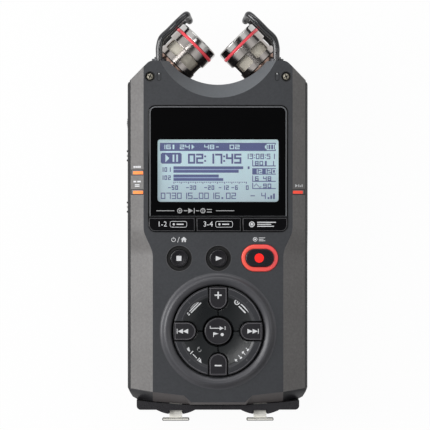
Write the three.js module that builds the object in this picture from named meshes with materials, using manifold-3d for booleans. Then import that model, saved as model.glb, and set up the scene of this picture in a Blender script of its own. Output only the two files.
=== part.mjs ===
// Portable digital recorder, lying on its back: +X to its right, +Y towards the microphones, +Z out of its
// front panel. The pieces are drawn about the housing's own middle, and the finished recorder is then set so
// that the origin is the middle of its footprint on the back face. Millimetres.
import * as THREE from 'three';
import { mergeVertices } from 'three/addons/utils/BufferGeometryUtils.js';
import Module from 'manifold-3d';

const wasm = await Module();
wasm.setup();

// Clearances, and the overrun of every cut past the face it opens
const SEAM = 0.3;
const SLIDE_FIT = 0.3;
const OVERRUN = 1;
const WELD = 0.0001;
const RING_STEPS = 36;
const FINE_STEPS = 24;
const ROUND_STEPS = 20;
const SMALL_STEPS = 12;
const CORNER_STEPS = 2;
const QUARTER = Math.PI / 2;

// Housing: stations along Y, insets from its side and drops from its front panel
const HOUSING = {
  halfWidth: 35.25,
  depth: 33,
  splitHeight: 12,
  wall: 2,
  shoulderTop: 67.8,
  shoulderInset: 8.7,
  shoulderRadius: 3.5,
  cornerBottom: 59.4,
  cornerRadius: 1.8,
  deckTop: 58,
  deckRim: 2,
  deckRimTop: 59.7,
  frontWall: 6.4,
  sideBottom: -59.8,
  footInset: 2,
  footTop: -63.2,
  baseInset: 3.7,
  baseTop: -64.1,
  facetInset: 10.1,
  facetBase: -64.8,
  tongueHalfWidth: 10.9,
  tongueBottom: -65.9,
};
// Side bands: the bevel between the panel and the side, wider and deeper in the lower half
const BAND = {
  upperInset: 6.3,
  lowerInset: 9.9,
  outerInset: 1.25,
  upperDrop: 4.4,
  lowerDrop: 6.5,
  upperSideDrop: 11,
  lowerSideDrop: 13,
  bendTop: 2.9,
  bendBottom: -8.1,
  bendSteps: 8,
};
// Facets that cut the panel's lower end away beside the tongue, and the bands' lower ends
const FACET = { outerTop: -60.9, innerTop: -62.3, innerHalfWidth: 13.3, drop: 3.2, bandEnd: -59.8 };
const BACK = { edgeInset: 4, chamferHeight: 2.2, chamferInset: 1.6, sideHeight: 8 };
// Notch between the shoulders, and the bevel that runs round it
const NOTCH = {
  bottom: 58.6,
  radius: 24.4,
  bevelBottom: 53.35,
  bevelRadius: 24.7,
  bevelDepth: 5.2,
  steps: 72,
};
const CAVITY = { top: 51.5, bottom: -61, shelfDrop: 11.4, panelInset: 12, panelWall: 3.5 };

// Display glass and the mode keys under it share one rounded recess
const GLASS = { halfWidth: 27.2, top: 50.55, bottom: 7.04, radius: 2.9, thickness: 1.8, proud: 0.3 };
const GLASS_STEPS = 4;
const DISPLAY = { inset: 3.7, top: 37.15, bottom: 12.9, frame: 1.4, thickness: 9.9 };
const MODE_KEY = { bottom: 1.1, height: 2.6, proud: 0.5, travel: 0.6, gap: 0.2 };
const MODE_KEY_DIVIDER_SHARES = [-1, -0.319, 0.338, 1];

// Transport keys
const KEY = { radius: 3.45, ringRadius: 4.85, ringDepth: 0.5, height: 5.1, proud: 0.7, dome: 0.35 };
const KEY_FLANGE = { rim: 0.7, thickness: 0.6 };
const KEY_PLACES = { stop_button: [-15.1, -9.03], play_button: [0.1, -9.03] };
const RECORD = { x: 16.2, y: -8.9, length: 11, width: 6.9, proud: 1, height: 5.4 };
const STADIUM_STEPS = 4;
const RECORD_RING = { length: 14.1, width: 10.3, thickness: 1.7, proud: 0.3 };

// Control pad
const PAD = {
  y: -37.3,
  collarRadius: 22.4,
  collarInner: 17.9,
  collarThickness: 3.2,
  collarProud: 1.6,
  keyRadius: 17.5,
  keyHeight: 4.4,
  keyProud: 1,
  centreRadius: 5.4,
  cornerInner: 5.8,
  rimInner: 14,
  rimRise: 0.6,
  armWidth: 7.2,
  armInner: 8.6,
  gap: 0.4,
};

// Lamps in the side bands
const LAMP = { length: 4.4, width: 1.8, inset: 6, depth: 2.6, proud: 0.1, fit: 0.2 };
const LAMP_HEIGHTS = { lamp_left_upper: 24.35, lamp_left_lower: 16.75, lamp_right: 16.8 };
const LAMP_SIDES = { lamp_left_upper: -1, lamp_left_lower: -1, lamp_right: 1 };

const FRONT_SCREW = { inset: 8.8, y: 61.6, headRadius: 1.45, recessRadius: 1.85, recess: 1.2, head: 0.8 };
const FRONT_SHANK = { radius: 0.9, length: 3 };
const MARK = { inset: 12.3, width: 1.5, length: 3.2, depth: 0.5 };
const REAR_SCREW = { inset: 7.5, top: 51, bottom: -55, headRadius: 2.5, head: 1.6, recess: 2.2 };
const REAR_SHANK = { radius: 1.2, length: 8.5 };
const POST_RADIUS = 3.8;

// Microphones: the swivel axis stands along Y, and the capsule leans in at 45 degrees from it
const MIC = {
  inset: 12.35,
  height: 17,
  crossing: 60.95,
  lean: Math.PI / 4,
  turretRadius: 5.4,
  turretShoulder: 64.5,
  turretTop: 66.2,
  spigotRadius: 2.4,
  spigotLength: 3,
  armRadius: 2.2,
  armEndRadius: 7.1,
  backRadius: 7.6,
  back: 7,
  sleeveRadius: 8.4,
  sleeveStart: 8.5,
  windowStart: 10.9,
  windowEnd: 15.1,
  windowShare: 0.8,
  windowTurnShare: 0.44,
  windows: 6,
  bandRadius: 8.9,
  bandEnd: 18.6,
  wall: 0.8,
  ringWidth: 1.05,
  ringRadius: 9,
  ringFit: 0.15,
  face: 22.6,
  faceRecess: 0.5,
  faceWall: 1.2,
  capChamfer: 0.5,
};
// The yoke on the turret holds the two legs of the guard, a round wire that loops over the capsule's face
const YOKE = { width: 5.8, bottom: 65.4, top: 68.9, crown: 69.6, crownInset: 1, rim: 1.5, socket: 1.6 };
const GUARD_TURN_SHARES = [0.8, 0.4];
const GUARD = {
  radius: 1.35,
  offset: 10.6,
  spread: 7.2,
  reach: 25.9,
  hook: 8,
  dip: 0.9,
  steps: 36,
  sides: 8,
};

// Input sockets, their end block and release tabs
const SOCKET = {
  spacing: 16.4,
  height: 15.6,
  radius: 10.3,
  front: -67.6,
  back: -43,
  grooveOuter: 9.5,
  grooveInner: 8,
  grooveDepth: 12,
  boreRadius: 3.3,
  boreDepth: 20,
  pinRadius: 1.3,
  pinCircle: 5.6,
  pinDepth: 12,
};
const BLOCK = { inset: 3.6, bottom: -68, low: 3, high: 30.3, radius: 1.6 };
const LIP = { width: 15.2, rise: 1.9, depth: 4.6, notch: 0.2 };
const TAB = { stem: 5, thickness: 1.4, height: 27.5, root: -60, neck: -71.2 };
const TAB_CAP = { width: 10.5, length: 1.1, depth: 3.2 };

// Controls on the sides
const WHEEL = { radius: 7.1, thickness: 3, proud: 0.4, y: 43.95, height: 18, hub: 1.6, hubLength: 2.4 };
const DIAL = { y: 25, sunk: 0.2, knurls: 20, knurlRadius: 0.5 };
const SWITCH = { length: 6.6, width: 3.4, proud: 0.4, travel: 2.5, height: 17.5, foot: 1.2, footRim: 1.2 };
const SWITCH_RIBS = { count: 3, pitch: 1.8, width: 0.7 };
const SWITCH_PLACES = { hold_switch: 31.05, input_switch: 10.9 };
const DOOR = { top: -4, bottom: -28, low: 13.6, high: 20, thickness: 1.4, slotLength: 15, slotWidth: 3 };
const PHONES = { y: 43.9, height: 17.5, radius: 3.2, bore: 1.8, boreDepth: 8, length: 10, sunk: 0.2 };

// Power, board and tripod bush
const CELL = { radius: 7.2, length: 48.6, nub: 2.6, nubLength: 1.4, spacing: 15, rest: 2.7, fit: 0.35 };
const BAY = { bottom: -32.5, top: 19.6, roof: 1.2, wall: 1.4, apron: 1.2, contact: 0.7, contactRise: 10 };
const COVER = { thickness: 2, rim: 1.4, floorGap: 0.25 };
const BOARD = { halfWidth: 20.4, top: 50, bottom: -36, thickness: 1.6 };
const BUSH = { y: 35, radius: 5.2, bore: 3.175, length: 6.8, sunk: 0.2, boss: 7.6 };

const FINISH = {
  panel: { color: 0x3a3e40, roughness: 0.62, metalness: 0.1 },
  black: { color: 0x151617, roughness: 0.45, metalness: 0 },
  glass: { color: 0x0c0d10, roughness: 0.08, metalness: 0 },
  display: { color: 0xbfdce4, roughness: 0.4, metalness: 0 },
  orange: { color: 0xff914b, roughness: 0.35, metalness: 0 },
  red: { color: 0xe84a3c, roughness: 0.35, metalness: 0 },
  ring: { color: 0xd9424c, roughness: 0.4, metalness: 0.2 },
  gunmetal: { color: 0x77726e, roughness: 0.25, metalness: 1 },
  nickel: { color: 0xa7a29c, roughness: 0.22, metalness: 1 },
  mesh: { color: 0x9a9788, roughness: 0.6, metalness: 0.6 },
  silver: { color: 0xc9c5bd, roughness: 0.3, metalness: 1 },
  guard: { color: 0x26282a, roughness: 0.3, metalness: 0.4 },
  board: { color: 0x1f5c3a, roughness: 0.6, metalness: 0 },
  cell: { color: 0x4b4f55, roughness: 0.4, metalness: 0.3 },
  brass: { color: 0xb99a52, roughness: 0.35, metalness: 1 },
};

const recorder = new THREE.Group();
const pieces = new THREE.Group();
recorder.add(pieces);

// Solids and how they join

function solid(geometry) {
  const bare = geometry.clone();
  bare.deleteAttribute('normal');
  bare.deleteAttribute('uv');
  const welded = mergeVertices(bare, WELD);
  return new wasm.Manifold(new wasm.Mesh({
    numProp: 3,
    vertProperties: new Float32Array(welded.attributes.position.array),
    triVerts: new Uint32Array(welded.index.array),
  }));
}

function geometryOf(shape) {
  const mesh = shape.getMesh();
  const geometry = new THREE.BufferGeometry();
  geometry.setAttribute('position', new THREE.BufferAttribute(mesh.vertProperties, 3));
  geometry.setIndex(new THREE.BufferAttribute(mesh.triVerts, 1));
  geometry.computeVertexNormals();
  return geometry;
}

function cut(shape, ...tools) {
  return tools.reduce((rest, tool) => rest.subtract(tool), shape);
}

function join(shape, ...others) {
  return others.reduce((sum, other) => sum.add(other), shape);
}

function part(name, shape, finish, parent = pieces) {
  const mesh = new THREE.Mesh(geometryOf(shape), new THREE.MeshStandardMaterial(FINISH[finish]));
  mesh.name = name;
  parent.add(mesh);
  return mesh;
}

// Profiles: corners are [x, y, radius]
function outline(corners) {
  const shape = new THREE.Shape();
  corners.forEach(([x, y, radius = 0], index) => {
    const corner = new THREE.Vector2(x, y);
    const towards = ([toX, toY]) => new THREE.Vector2(toX, toY).sub(corner).normalize();
    const before = towards(corners.at(index - 1));
    const after = towards(corners[(index + 1) % corners.length]);
    const halfAngle = Math.acos(THREE.MathUtils.clamp(before.dot(after), -1, 1)) / 2;
    const start = corner.clone().addScaledVector(before, radius / Math.tan(halfAngle));
    const end = corner.clone().addScaledVector(after, radius / Math.tan(halfAngle));
    const draw = index ? 'lineTo' : 'moveTo';
    shape[draw](start.x, start.y);
    if (radius) {
      const inwards = before.clone().add(after).normalize();
      const centre = inwards.multiplyScalar(radius / Math.sin(halfAngle)).add(corner);
      const from = Math.atan2(start.y - centre.y, start.x - centre.x);
      const to = Math.atan2(end.y - centre.y, end.x - centre.x);
      const turn = before.cross(after) > 0;
      shape.absarc(centre.x, centre.y, radius, from, to, turn);
    }
  });
  shape.closePath();
  return shape;
}

function slab(left, right, bottom, top, radius = 0) {
  const corners = [[left, bottom], [right, bottom], [right, top], [left, top]];
  return outline(corners.map(([x, y]) => [x, y, radius]));
}

function circle(x, y, radius) {
  const shape = new THREE.Shape();
  shape.absarc(x, y, radius, 0, 2 * Math.PI, false);
  return shape;
}

// Extrusions along Z, along Y (profile drawn in X and Z) and along X (profile drawn in Y and Z)
function extrusion(shape, length, steps) {
  return new THREE.ExtrudeGeometry(shape, { depth: length, bevelEnabled: false, curveSegments: steps });
}

function prism(shape, low, high, steps = CORNER_STEPS) {
  return solid(extrusion(shape, high - low, steps).translate(0, 0, low));
}

function prismY(shape, low, high, steps = CORNER_STEPS) {
  return solid(extrusion(shape, high - low, steps).rotateX(QUARTER).translate(0, high, 0));
}

function prismX(shape, low, high, steps = CORNER_STEPS) {
  const turn = new THREE.Matrix4().makeBasis(
    new THREE.Vector3(0, 1, 0),
    new THREE.Vector3(0, 0, 1),
    new THREE.Vector3(1, 0, 0),
  );
  return solid(extrusion(shape, high - low, steps).applyMatrix4(turn).translate(low, 0, 0));
}

function box(left, right, bottom, top, low, high) {
  return prism(slab(left, right, bottom, top), low, high);
}

// A whole circle has twice as many sides as its curve has steps
function disc(x, y, radius, low, high, steps = ROUND_STEPS) {
  return prism(circle(x, y, radius), low, high, steps / 2);
}

// A revolved solid: profile points are [radius, distance along the axis]
function turned(profile, origin, direction, steps = ROUND_STEPS) {
  const points = profile.map(([radius, along]) => new THREE.Vector2(radius, along));
  const closes = profile[0][0] === 0 && profile.at(-1)[0] === 0;
  if (!closes) points.push(points[0].clone());
  const turn = new THREE.Quaternion().setFromUnitVectors(new THREE.Vector3(0, 1, 0), direction);
  const place = new THREE.Matrix4().compose(origin, turn, new THREE.Vector3(1, 1, 1));
  const geometry = new THREE.LatheGeometry(points, steps).applyMatrix4(place);
  return solid(outwards(geometry));
}

function tube(points, radius, steps, sides) {
  const path = new THREE.CatmullRomCurve3(points, false, 'centripetal');
  const section = circle(0, 0, radius);
  const options = { steps, curveSegments: sides / 2, extrudePath: path };
  return solid(outwards(new THREE.ExtrudeGeometry(section, options)));
}

// A skin over rings of the same number of points, closed by a fan at each end
function loft(rings) {
  const count = rings[0].length;
  const positions = rings.flat().flatMap((point) => [point.x, point.y, point.z]);
  const index = [];
  for (let ring = 0; ring < rings.length - 1; ring += 1) {
    for (let step = 0; step < count; step += 1) {
      const here = ring * count + step;
      const beside = ring * count + ((step + 1) % count);
      index.push(here, beside, here + count, beside, beside + count, here + count);
    }
  }
  const last = (rings.length - 1) * count;
  for (let step = 1; step < count - 1; step += 1) {
    index.push(0, step + 1, step);
    index.push(last, last + step, last + step + 1);
  }
  const geometry = new THREE.BufferGeometry();
  geometry.setAttribute('position', new THREE.Float32BufferAttribute(positions, 3));
  geometry.setIndex(index);
  return solid(outwards(geometry));
}

// The same geometry with every face turned to point out of the body
function outwards(geometry) {
  const merged = geometry.clone();
  merged.deleteAttribute('normal');
  merged.deleteAttribute('uv');
  const welded = mergeVertices(merged, WELD);
  const corner = [new THREE.Vector3(), new THREE.Vector3(), new THREE.Vector3()];
  const index = welded.index.array;
  const faces = [];
  let volume = 0;
  for (let face = 0; face < index.length; face += 3) {
    const ids = [index[face], index[face + 1], index[face + 2]];
    if (new Set(ids).size < 3) continue;
    ids.forEach((id, place) => corner[place].fromBufferAttribute(welded.attributes.position, id));
    volume += corner[0].dot(corner[1].cross(corner[2]));
    faces.push(ids);
  }
  welded.setIndex(faces.flatMap(([a, b, c]) => (volume < 0 ? [a, c, b] : [a, b, c])));
  return welded;
}

const vector = (x, y, z) => new THREE.Vector3(x, y, z);
const alongX = vector(1, 0, 0);
const alongY = vector(0, 1, 0);
const fromSide = (inset) => HOUSING.halfWidth - inset;
const panelInside = HOUSING.depth - CAVITY.panelWall;
const cavityHalfWidth = fromSide(HOUSING.wall);
const panelCavity = fromSide(CAVITY.panelInset);
const shelf = HOUSING.depth - CAVITY.shelfDrop;
const wallBack = HOUSING.depth - HOUSING.frontWall;
const displayHalfWidth = GLASS.halfWidth - DISPLAY.inset;
const micPivot = fromSide(MIC.inset);
const wheelX = HOUSING.halfWidth + WHEEL.proud - WHEEL.radius;
const dialX = HOUSING.halfWidth - DIAL.sunk - WHEEL.radius;

// Housing shells

// Half the section of the front shell across Y, from the side up to the panel
function bandSection(y) {
  const run = THREE.MathUtils.clamp((BAND.bendTop - y) / (BAND.bendTop - BAND.bendBottom), 0, 1);
  const share = run * run * (3 - 2 * run);
  const mix = (upper, lower) => THREE.MathUtils.lerp(upper, lower, share);
  return [
    [HOUSING.halfWidth, HOUSING.depth - mix(BAND.upperSideDrop, BAND.lowerSideDrop)],
    [fromSide(BAND.outerInset), HOUSING.depth - mix(BAND.upperDrop, BAND.lowerDrop)],
    [fromSide(mix(BAND.upperInset, BAND.lowerInset)), HOUSING.depth],
  ];
}

function frontForm() {
  const stations = [HOUSING.shoulderTop + OVERRUN];
  for (let step = 0; step <= BAND.bendSteps; step += 1) {
    stations.push(THREE.MathUtils.lerp(BAND.bendTop, BAND.bendBottom, step / BAND.bendSteps));
  }
  stations.push(HOUSING.tongueBottom - OVERRUN);
  return loft(stations.map((y) => {
    const half = [[HOUSING.halfWidth, HOUSING.splitHeight + SEAM], ...bandSection(y)];
    const right = half.map(([x, z]) => vector(x, y, z));
    const left = half.map(([x, z]) => vector(-x, y, z)).reverse();
    return [...right, ...left];
  }));
}

function housingOutline() {
  const right = [
    [fromSide(HOUSING.shoulderInset), HOUSING.shoulderTop, HOUSING.shoulderRadius],
    [HOUSING.halfWidth, HOUSING.cornerBottom, HOUSING.cornerRadius],
    [HOUSING.halfWidth, HOUSING.sideBottom],
    [fromSide(HOUSING.footInset), HOUSING.footTop],
    [fromSide(HOUSING.baseInset), HOUSING.baseTop],
    [fromSide(HOUSING.facetInset), HOUSING.facetBase],
    [HOUSING.tongueHalfWidth, HOUSING.tongueBottom],
  ];
  const left = right.map(([x, y, radius]) => [-x, y, radius]).reverse();
  return outline([...right, ...left]);
}

// A tool whose section changes from the notch at its depth to the bevel's edge on the panel
function notchBevel() {
  const low = HOUSING.depth - NOTCH.bevelDepth;
  const ring = (share) => {
    const radius = THREE.MathUtils.lerp(NOTCH.radius, NOTCH.bevelRadius, share);
    const bottom = THREE.MathUtils.lerp(NOTCH.bottom, NOTCH.bevelBottom, share);
    const points = [];
    for (let step = 0; step < NOTCH.steps; step += 1) {
      const angle = (2 * Math.PI * step) / NOTCH.steps;
      const x = radius * Math.sin(angle);
      const y = bottom + radius - radius * Math.cos(angle);
      points.push(vector(x, y, low + NOTCH.bevelDepth * share));
    }
    return points;
  };
  return loft([ring(0), ring(1 + OVERRUN / NOTCH.bevelDepth)]);
}

// A block that lies on the plane through three points, on the side of the last point given
function blockBeyond(first, second, third, side) {
  const normal = second.clone().sub(first).cross(third.clone().sub(first)).normalize();
  if (normal.dot(side.clone().sub(first)) < 0) normal.negate();
  const size = 2 * HOUSING.depth;
  const turn = new THREE.Quaternion().setFromUnitVectors(vector(0, 0, 1), normal);
  const block = new THREE.BoxGeometry(size, size, size).translate(0, 0, size / 2).applyQuaternion(turn);
  return solid(block.translate(first.x, first.y, first.z));
}

// The panel's facet ends on a ridge under the band's inner edge, where the corner's facet starts
function lowerFacets(side) {
  const place = ([x, y, z]) => vector(side * x, y, z);
  const ridgeX = fromSide(BAND.lowerInset);
  const ridgeTop = place([ridgeX, FACET.outerTop, HOUSING.depth]);
  const innerTop = place([FACET.innerHalfWidth, FACET.innerTop, HOUSING.depth]);
  const innerBase = place([HOUSING.tongueHalfWidth, HOUSING.tongueBottom, HOUSING.depth - FACET.drop]);
  const outside = place([ridgeX, HOUSING.tongueBottom, HOUSING.depth]);
  const panelPlane = new THREE.Plane().setFromCoplanarPoints(ridgeTop, innerTop, innerBase);
  const baseX = fromSide(HOUSING.facetInset);
  const below = new THREE.Line3(
    place([baseX, HOUSING.facetBase, 0]),
    place([baseX, HOUSING.facetBase, HOUSING.depth]),
  );
  const ridgeBase = panelPlane.intersectLine(below, vector(0, 0, 0));
  const bandEnd = place([fromSide(BAND.outerInset), FACET.bandEnd, HOUSING.depth - BAND.lowerDrop]);
  const past = HOUSING.tongueBottom - OVERRUN;
  const panelField = outline([
    [side * ridgeX, FACET.bandEnd + OVERRUN],
    [side * FACET.innerHalfWidth, FACET.bandEnd + OVERRUN],
    [side * FACET.innerHalfWidth, FACET.innerTop],
    [side * HOUSING.tongueHalfWidth, HOUSING.tongueBottom],
    [side * HOUSING.tongueHalfWidth, past],
    [side * ridgeX, past],
  ]);
  const outerX = side * (HOUSING.halfWidth + OVERRUN);
  const cornerField = slab(Math.min(side * ridgeX, outerX), Math.max(side * ridgeX, outerX), past,
    HOUSING.cornerBottom);
  const low = HOUSING.splitHeight;
  const high = HOUSING.depth + OVERRUN;
  return [
    blockBeyond(ridgeTop, innerTop, innerBase, outside).intersect(prism(panelField, low, high)),
    blockBeyond(ridgeTop, bandEnd, ridgeBase, outside).intersect(prism(cornerField, low, high)),
  ];
}

function socketHoles(fit) {
  return [-1, 1].map((side) => turned([
    [0, HOUSING.tongueBottom - OVERRUN],
    [SOCKET.radius + fit, HOUSING.tongueBottom - OVERRUN],
    [SOCKET.radius + fit, SOCKET.back + SLIDE_FIT],
    [0, SOCKET.back + SLIDE_FIT],
  ], vector(side * SOCKET.spacing, 0, SOCKET.height), alongY, FINE_STEPS));
}

function tabSlot(side) {
  const half = TAB.stem / 2 + SLIDE_FIT;
  const x = side * SOCKET.spacing;
  const low = TAB.height - TAB.thickness / 2 - SLIDE_FIT;
  return box(x - half, x + half, TAB.neck, CAVITY.bottom + OVERRUN, low, low + TAB.thickness + 2 * SLIDE_FIT);
}

function recordShape(grow, length, width) {
  const halfLength = length / 2 + grow;
  const halfWidth = width / 2 + grow;
  return slab(
    RECORD.x - halfLength,
    RECORD.x + halfLength,
    RECORD.y - halfWidth,
    RECORD.y + halfWidth,
    halfWidth - WELD,
  );
}

function panelCuts() {
  const top = HOUSING.depth + OVERRUN;
  const open = panelInside - OVERRUN;
  const glassFloor = HOUSING.depth + GLASS.proud - GLASS.thickness - SEAM;
  const keyFloor = HOUSING.depth + MODE_KEY.proud - MODE_KEY.height - MODE_KEY.travel - SEAM;
  const cuts = [
    prism(slab(-GLASS.halfWidth, GLASS.halfWidth, MODE_KEY.bottom, GLASS.top, GLASS.radius), glassFloor, top,
      GLASS_STEPS),
    prism(slab(-GLASS.halfWidth, GLASS.halfWidth, MODE_KEY.bottom, GLASS.bottom), keyFloor,
      glassFloor + OVERRUN),
    box(
      -displayHalfWidth - DISPLAY.frame - SEAM,
      displayHalfWidth + DISPLAY.frame + SEAM,
      DISPLAY.bottom - DISPLAY.frame - SEAM,
      DISPLAY.top + DISPLAY.frame + SEAM,
      shelf - OVERRUN,
      top,
    ),
    prism(recordShape(SEAM, RECORD_RING.length, RECORD_RING.width),
      HOUSING.depth + RECORD_RING.proud - RECORD_RING.thickness - SEAM, top, STADIUM_STEPS),
    prism(recordShape(SLIDE_FIT, RECORD.length, RECORD.width), open, top, STADIUM_STEPS),
    disc(0, PAD.y, PAD.collarRadius + SEAM,
      HOUSING.depth + PAD.collarProud - PAD.collarThickness - SEAM, top, RING_STEPS),
    disc(0, PAD.y, PAD.collarInner, open, top, RING_STEPS),
  ];
  for (const [x, y] of Object.values(KEY_PLACES)) {
    cuts.push(disc(x, y, KEY.ringRadius, HOUSING.depth - KEY.ringDepth, top, FINE_STEPS));
    cuts.push(disc(x, y, KEY.radius + SLIDE_FIT, open, top, FINE_STEPS));
  }
  for (const side of [-1, 1]) {
    const screwX = side * fromSide(FRONT_SCREW.inset);
    const floor = HOUSING.depth - FRONT_SCREW.recess;
    cuts.push(disc(screwX, FRONT_SCREW.y, FRONT_SCREW.recessRadius, floor, top));
    cuts.push(disc(screwX, FRONT_SCREW.y, FRONT_SHANK.radius + SEAM, floor - FRONT_SHANK.length - SEAM, top,
      SMALL_STEPS));
    const x = side * fromSide(MARK.inset);
    const half = MARK.width / 2;
    const low = FRONT_SCREW.y - MARK.length / 2;
    const shape = slab(x - half, x + half, low, low + MARK.length, half - WELD);
    cuts.push(prism(shape, HOUSING.depth - MARK.depth, top, STADIUM_STEPS));
  }
  return cuts;
}

// Slots in the side walls, and the room inside them, for the wheel, the dial, the switches, the card door and
// the phones socket. Both shells are cut by them.
function sideCuts() {
  const wallOuter = HOUSING.halfWidth + OVERRUN;
  const wallInner = cavityHalfWidth - OVERRUN;
  const cuts = [];
  const wheelHalf = WHEEL.radius - WHEEL.thickness / 2;
  const wheelLow = WHEEL.height - WHEEL.thickness / 2 - SLIDE_FIT;
  const wheelHigh = WHEEL.height + WHEEL.thickness / 2 + SLIDE_FIT;
  cuts.push(box(-wallOuter, -wallInner, WHEEL.y - wheelHalf, WHEEL.y + wheelHalf, wheelLow, wheelHigh));
  cuts.push(box(wallInner, wallOuter, DIAL.y - wheelHalf, DIAL.y + wheelHalf, wheelLow, wheelHigh));
  cuts.push(disc(-wheelX, WHEEL.y, WHEEL.radius + SLIDE_FIT, wheelLow - WHEEL.hubLength, wheelHigh));
  cuts.push(disc(dialX, DIAL.y, WHEEL.radius + SLIDE_FIT, wheelLow - WHEEL.hubLength, wheelHigh));
  for (const y of Object.values(SWITCH_PLACES)) {
    const half = SWITCH.width / 2 + SLIDE_FIT;
    const bottom = y - SWITCH.length / 2 - SWITCH.travel - SLIDE_FIT;
    const top = y + SWITCH.length / 2 + SLIDE_FIT;
    const footEdge = half + SWITCH.footRim;
    cuts.push(box(-wallOuter, -wallInner, bottom, top, SWITCH.height - half, SWITCH.height + half));
    cuts.push(box(-cavityHalfWidth, -cavityHalfWidth + SWITCH.foot + 2 * SLIDE_FIT, bottom - SWITCH.footRim,
      top + SWITCH.footRim, SWITCH.height - footEdge, SWITCH.height + footEdge));
  }
  const doorDepth = HOUSING.halfWidth - DOOR.thickness - SEAM;
  cuts.push(box(doorDepth, wallOuter, DOOR.bottom - SEAM, DOOR.top + SEAM, DOOR.low - SEAM,
    DOOR.high + SEAM));
  const slotY = (DOOR.top + DOOR.bottom) / 2;
  const slotZ = (DOOR.low + DOOR.high) / 2;
  cuts.push(box(wallInner, wallOuter, slotY - DOOR.slotLength / 2, slotY + DOOR.slotLength / 2,
    slotZ - DOOR.slotWidth / 2, slotZ + DOOR.slotWidth / 2));
  const jackEnd = HOUSING.halfWidth - PHONES.sunk - PHONES.length - SEAM;
  cuts.push(turned([[0, jackEnd], [PHONES.radius + SEAM, jackEnd], [PHONES.radius + SEAM, wallOuter],
    [0, wallOuter]], vector(0, PHONES.y, PHONES.height), alongX));
  return cuts;
}

function lampSlope(side, grow) {
  const [, outer, inner] = bandSection(HOUSING.shoulderTop);
  const fall = (outer[1] - inner[1]) / (outer[0] - inner[0]);
  const surface = (x) => inner[1] + fall * (x - inner[0]);
  const left = fromSide(LAMP.inset) - grow;
  const right = fromSide(LAMP.inset) + LAMP.length + grow;
  const rise = grow ? OVERRUN : LAMP.proud;
  const floor = surface(right) - LAMP.depth - grow;
  const corners = [
    [left, floor],
    [right, floor],
    [right, surface(right) + rise],
    [left, surface(left) + rise],
  ];
  return outline(corners.map(([x, z]) => [side * x, z]));
}

function lampSolid(side, y, grow) {
  const half = LAMP.width / 2 + grow;
  return prismY(lampSlope(side, grow), y - half, y + half);
}

// The deck under the microphones, with a low rim along each side
function deckCuts(low, high) {
  const wide = HOUSING.halfWidth + OVERRUN;
  const narrow = fromSide(HOUSING.deckRim);
  const top = HOUSING.shoulderTop + OVERRUN;
  return [
    box(-wide, wide, HOUSING.deckRimTop, top, low, high),
    box(-narrow, narrow, HOUSING.deckTop, top, low, high),
  ];
}

function frontShell() {
  const open = HOUSING.splitHeight - OVERRUN;
  let shell = frontForm().intersect(prism(housingOutline(), open, HOUSING.depth + OVERRUN));
  shell = cut(
    shell,
    disc(0, NOTCH.bottom + NOTCH.radius, NOTCH.radius, open, HOUSING.depth + OVERRUN, NOTCH.steps),
    notchBevel(),
    ...lowerFacets(-1),
    ...lowerFacets(1),
    ...deckCuts(open, wallBack),
    box(-cavityHalfWidth, cavityHalfWidth, CAVITY.bottom, CAVITY.top, open, shelf),
    box(-panelCavity, panelCavity, CAVITY.bottom, CAVITY.top, open, panelInside),
    ...socketHoles(SEAM),
    ...[-1, 1].map(tabSlot),
    ...panelCuts(),
    ...sideCuts(),
  );
  for (const [name, y] of Object.entries(LAMP_HEIGHTS)) {
    shell = cut(shell, lampSolid(LAMP_SIDES[name], y, LAMP.fit));
  }
  for (const side of [-1, 1]) {
    shell = cut(shell, turned([
      [0, HOUSING.deckTop - MIC.spigotLength - SLIDE_FIT],
      [MIC.spigotRadius + SLIDE_FIT, HOUSING.deckTop - MIC.spigotLength - SLIDE_FIT],
      [MIC.spigotRadius + SLIDE_FIT, HOUSING.deckTop + OVERRUN],
      [0, HOUSING.deckTop + OVERRUN],
    ], vector(side * micPivot, 0, MIC.height), alongY, SMALL_STEPS));
  }
  return shell;
}

const bayHalfWidth = CELL.spacing / 2 + CELL.radius + CELL.fit;
const bayLength = CELL.length + CELL.nubLength + 2 * BAY.contact + 2 * CELL.fit;
const bayTop = BAY.bottom + bayLength;
const coverAxisY = bayTop + COVER.rim;
const coverAxisZ = COVER.thickness / 2;

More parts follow.
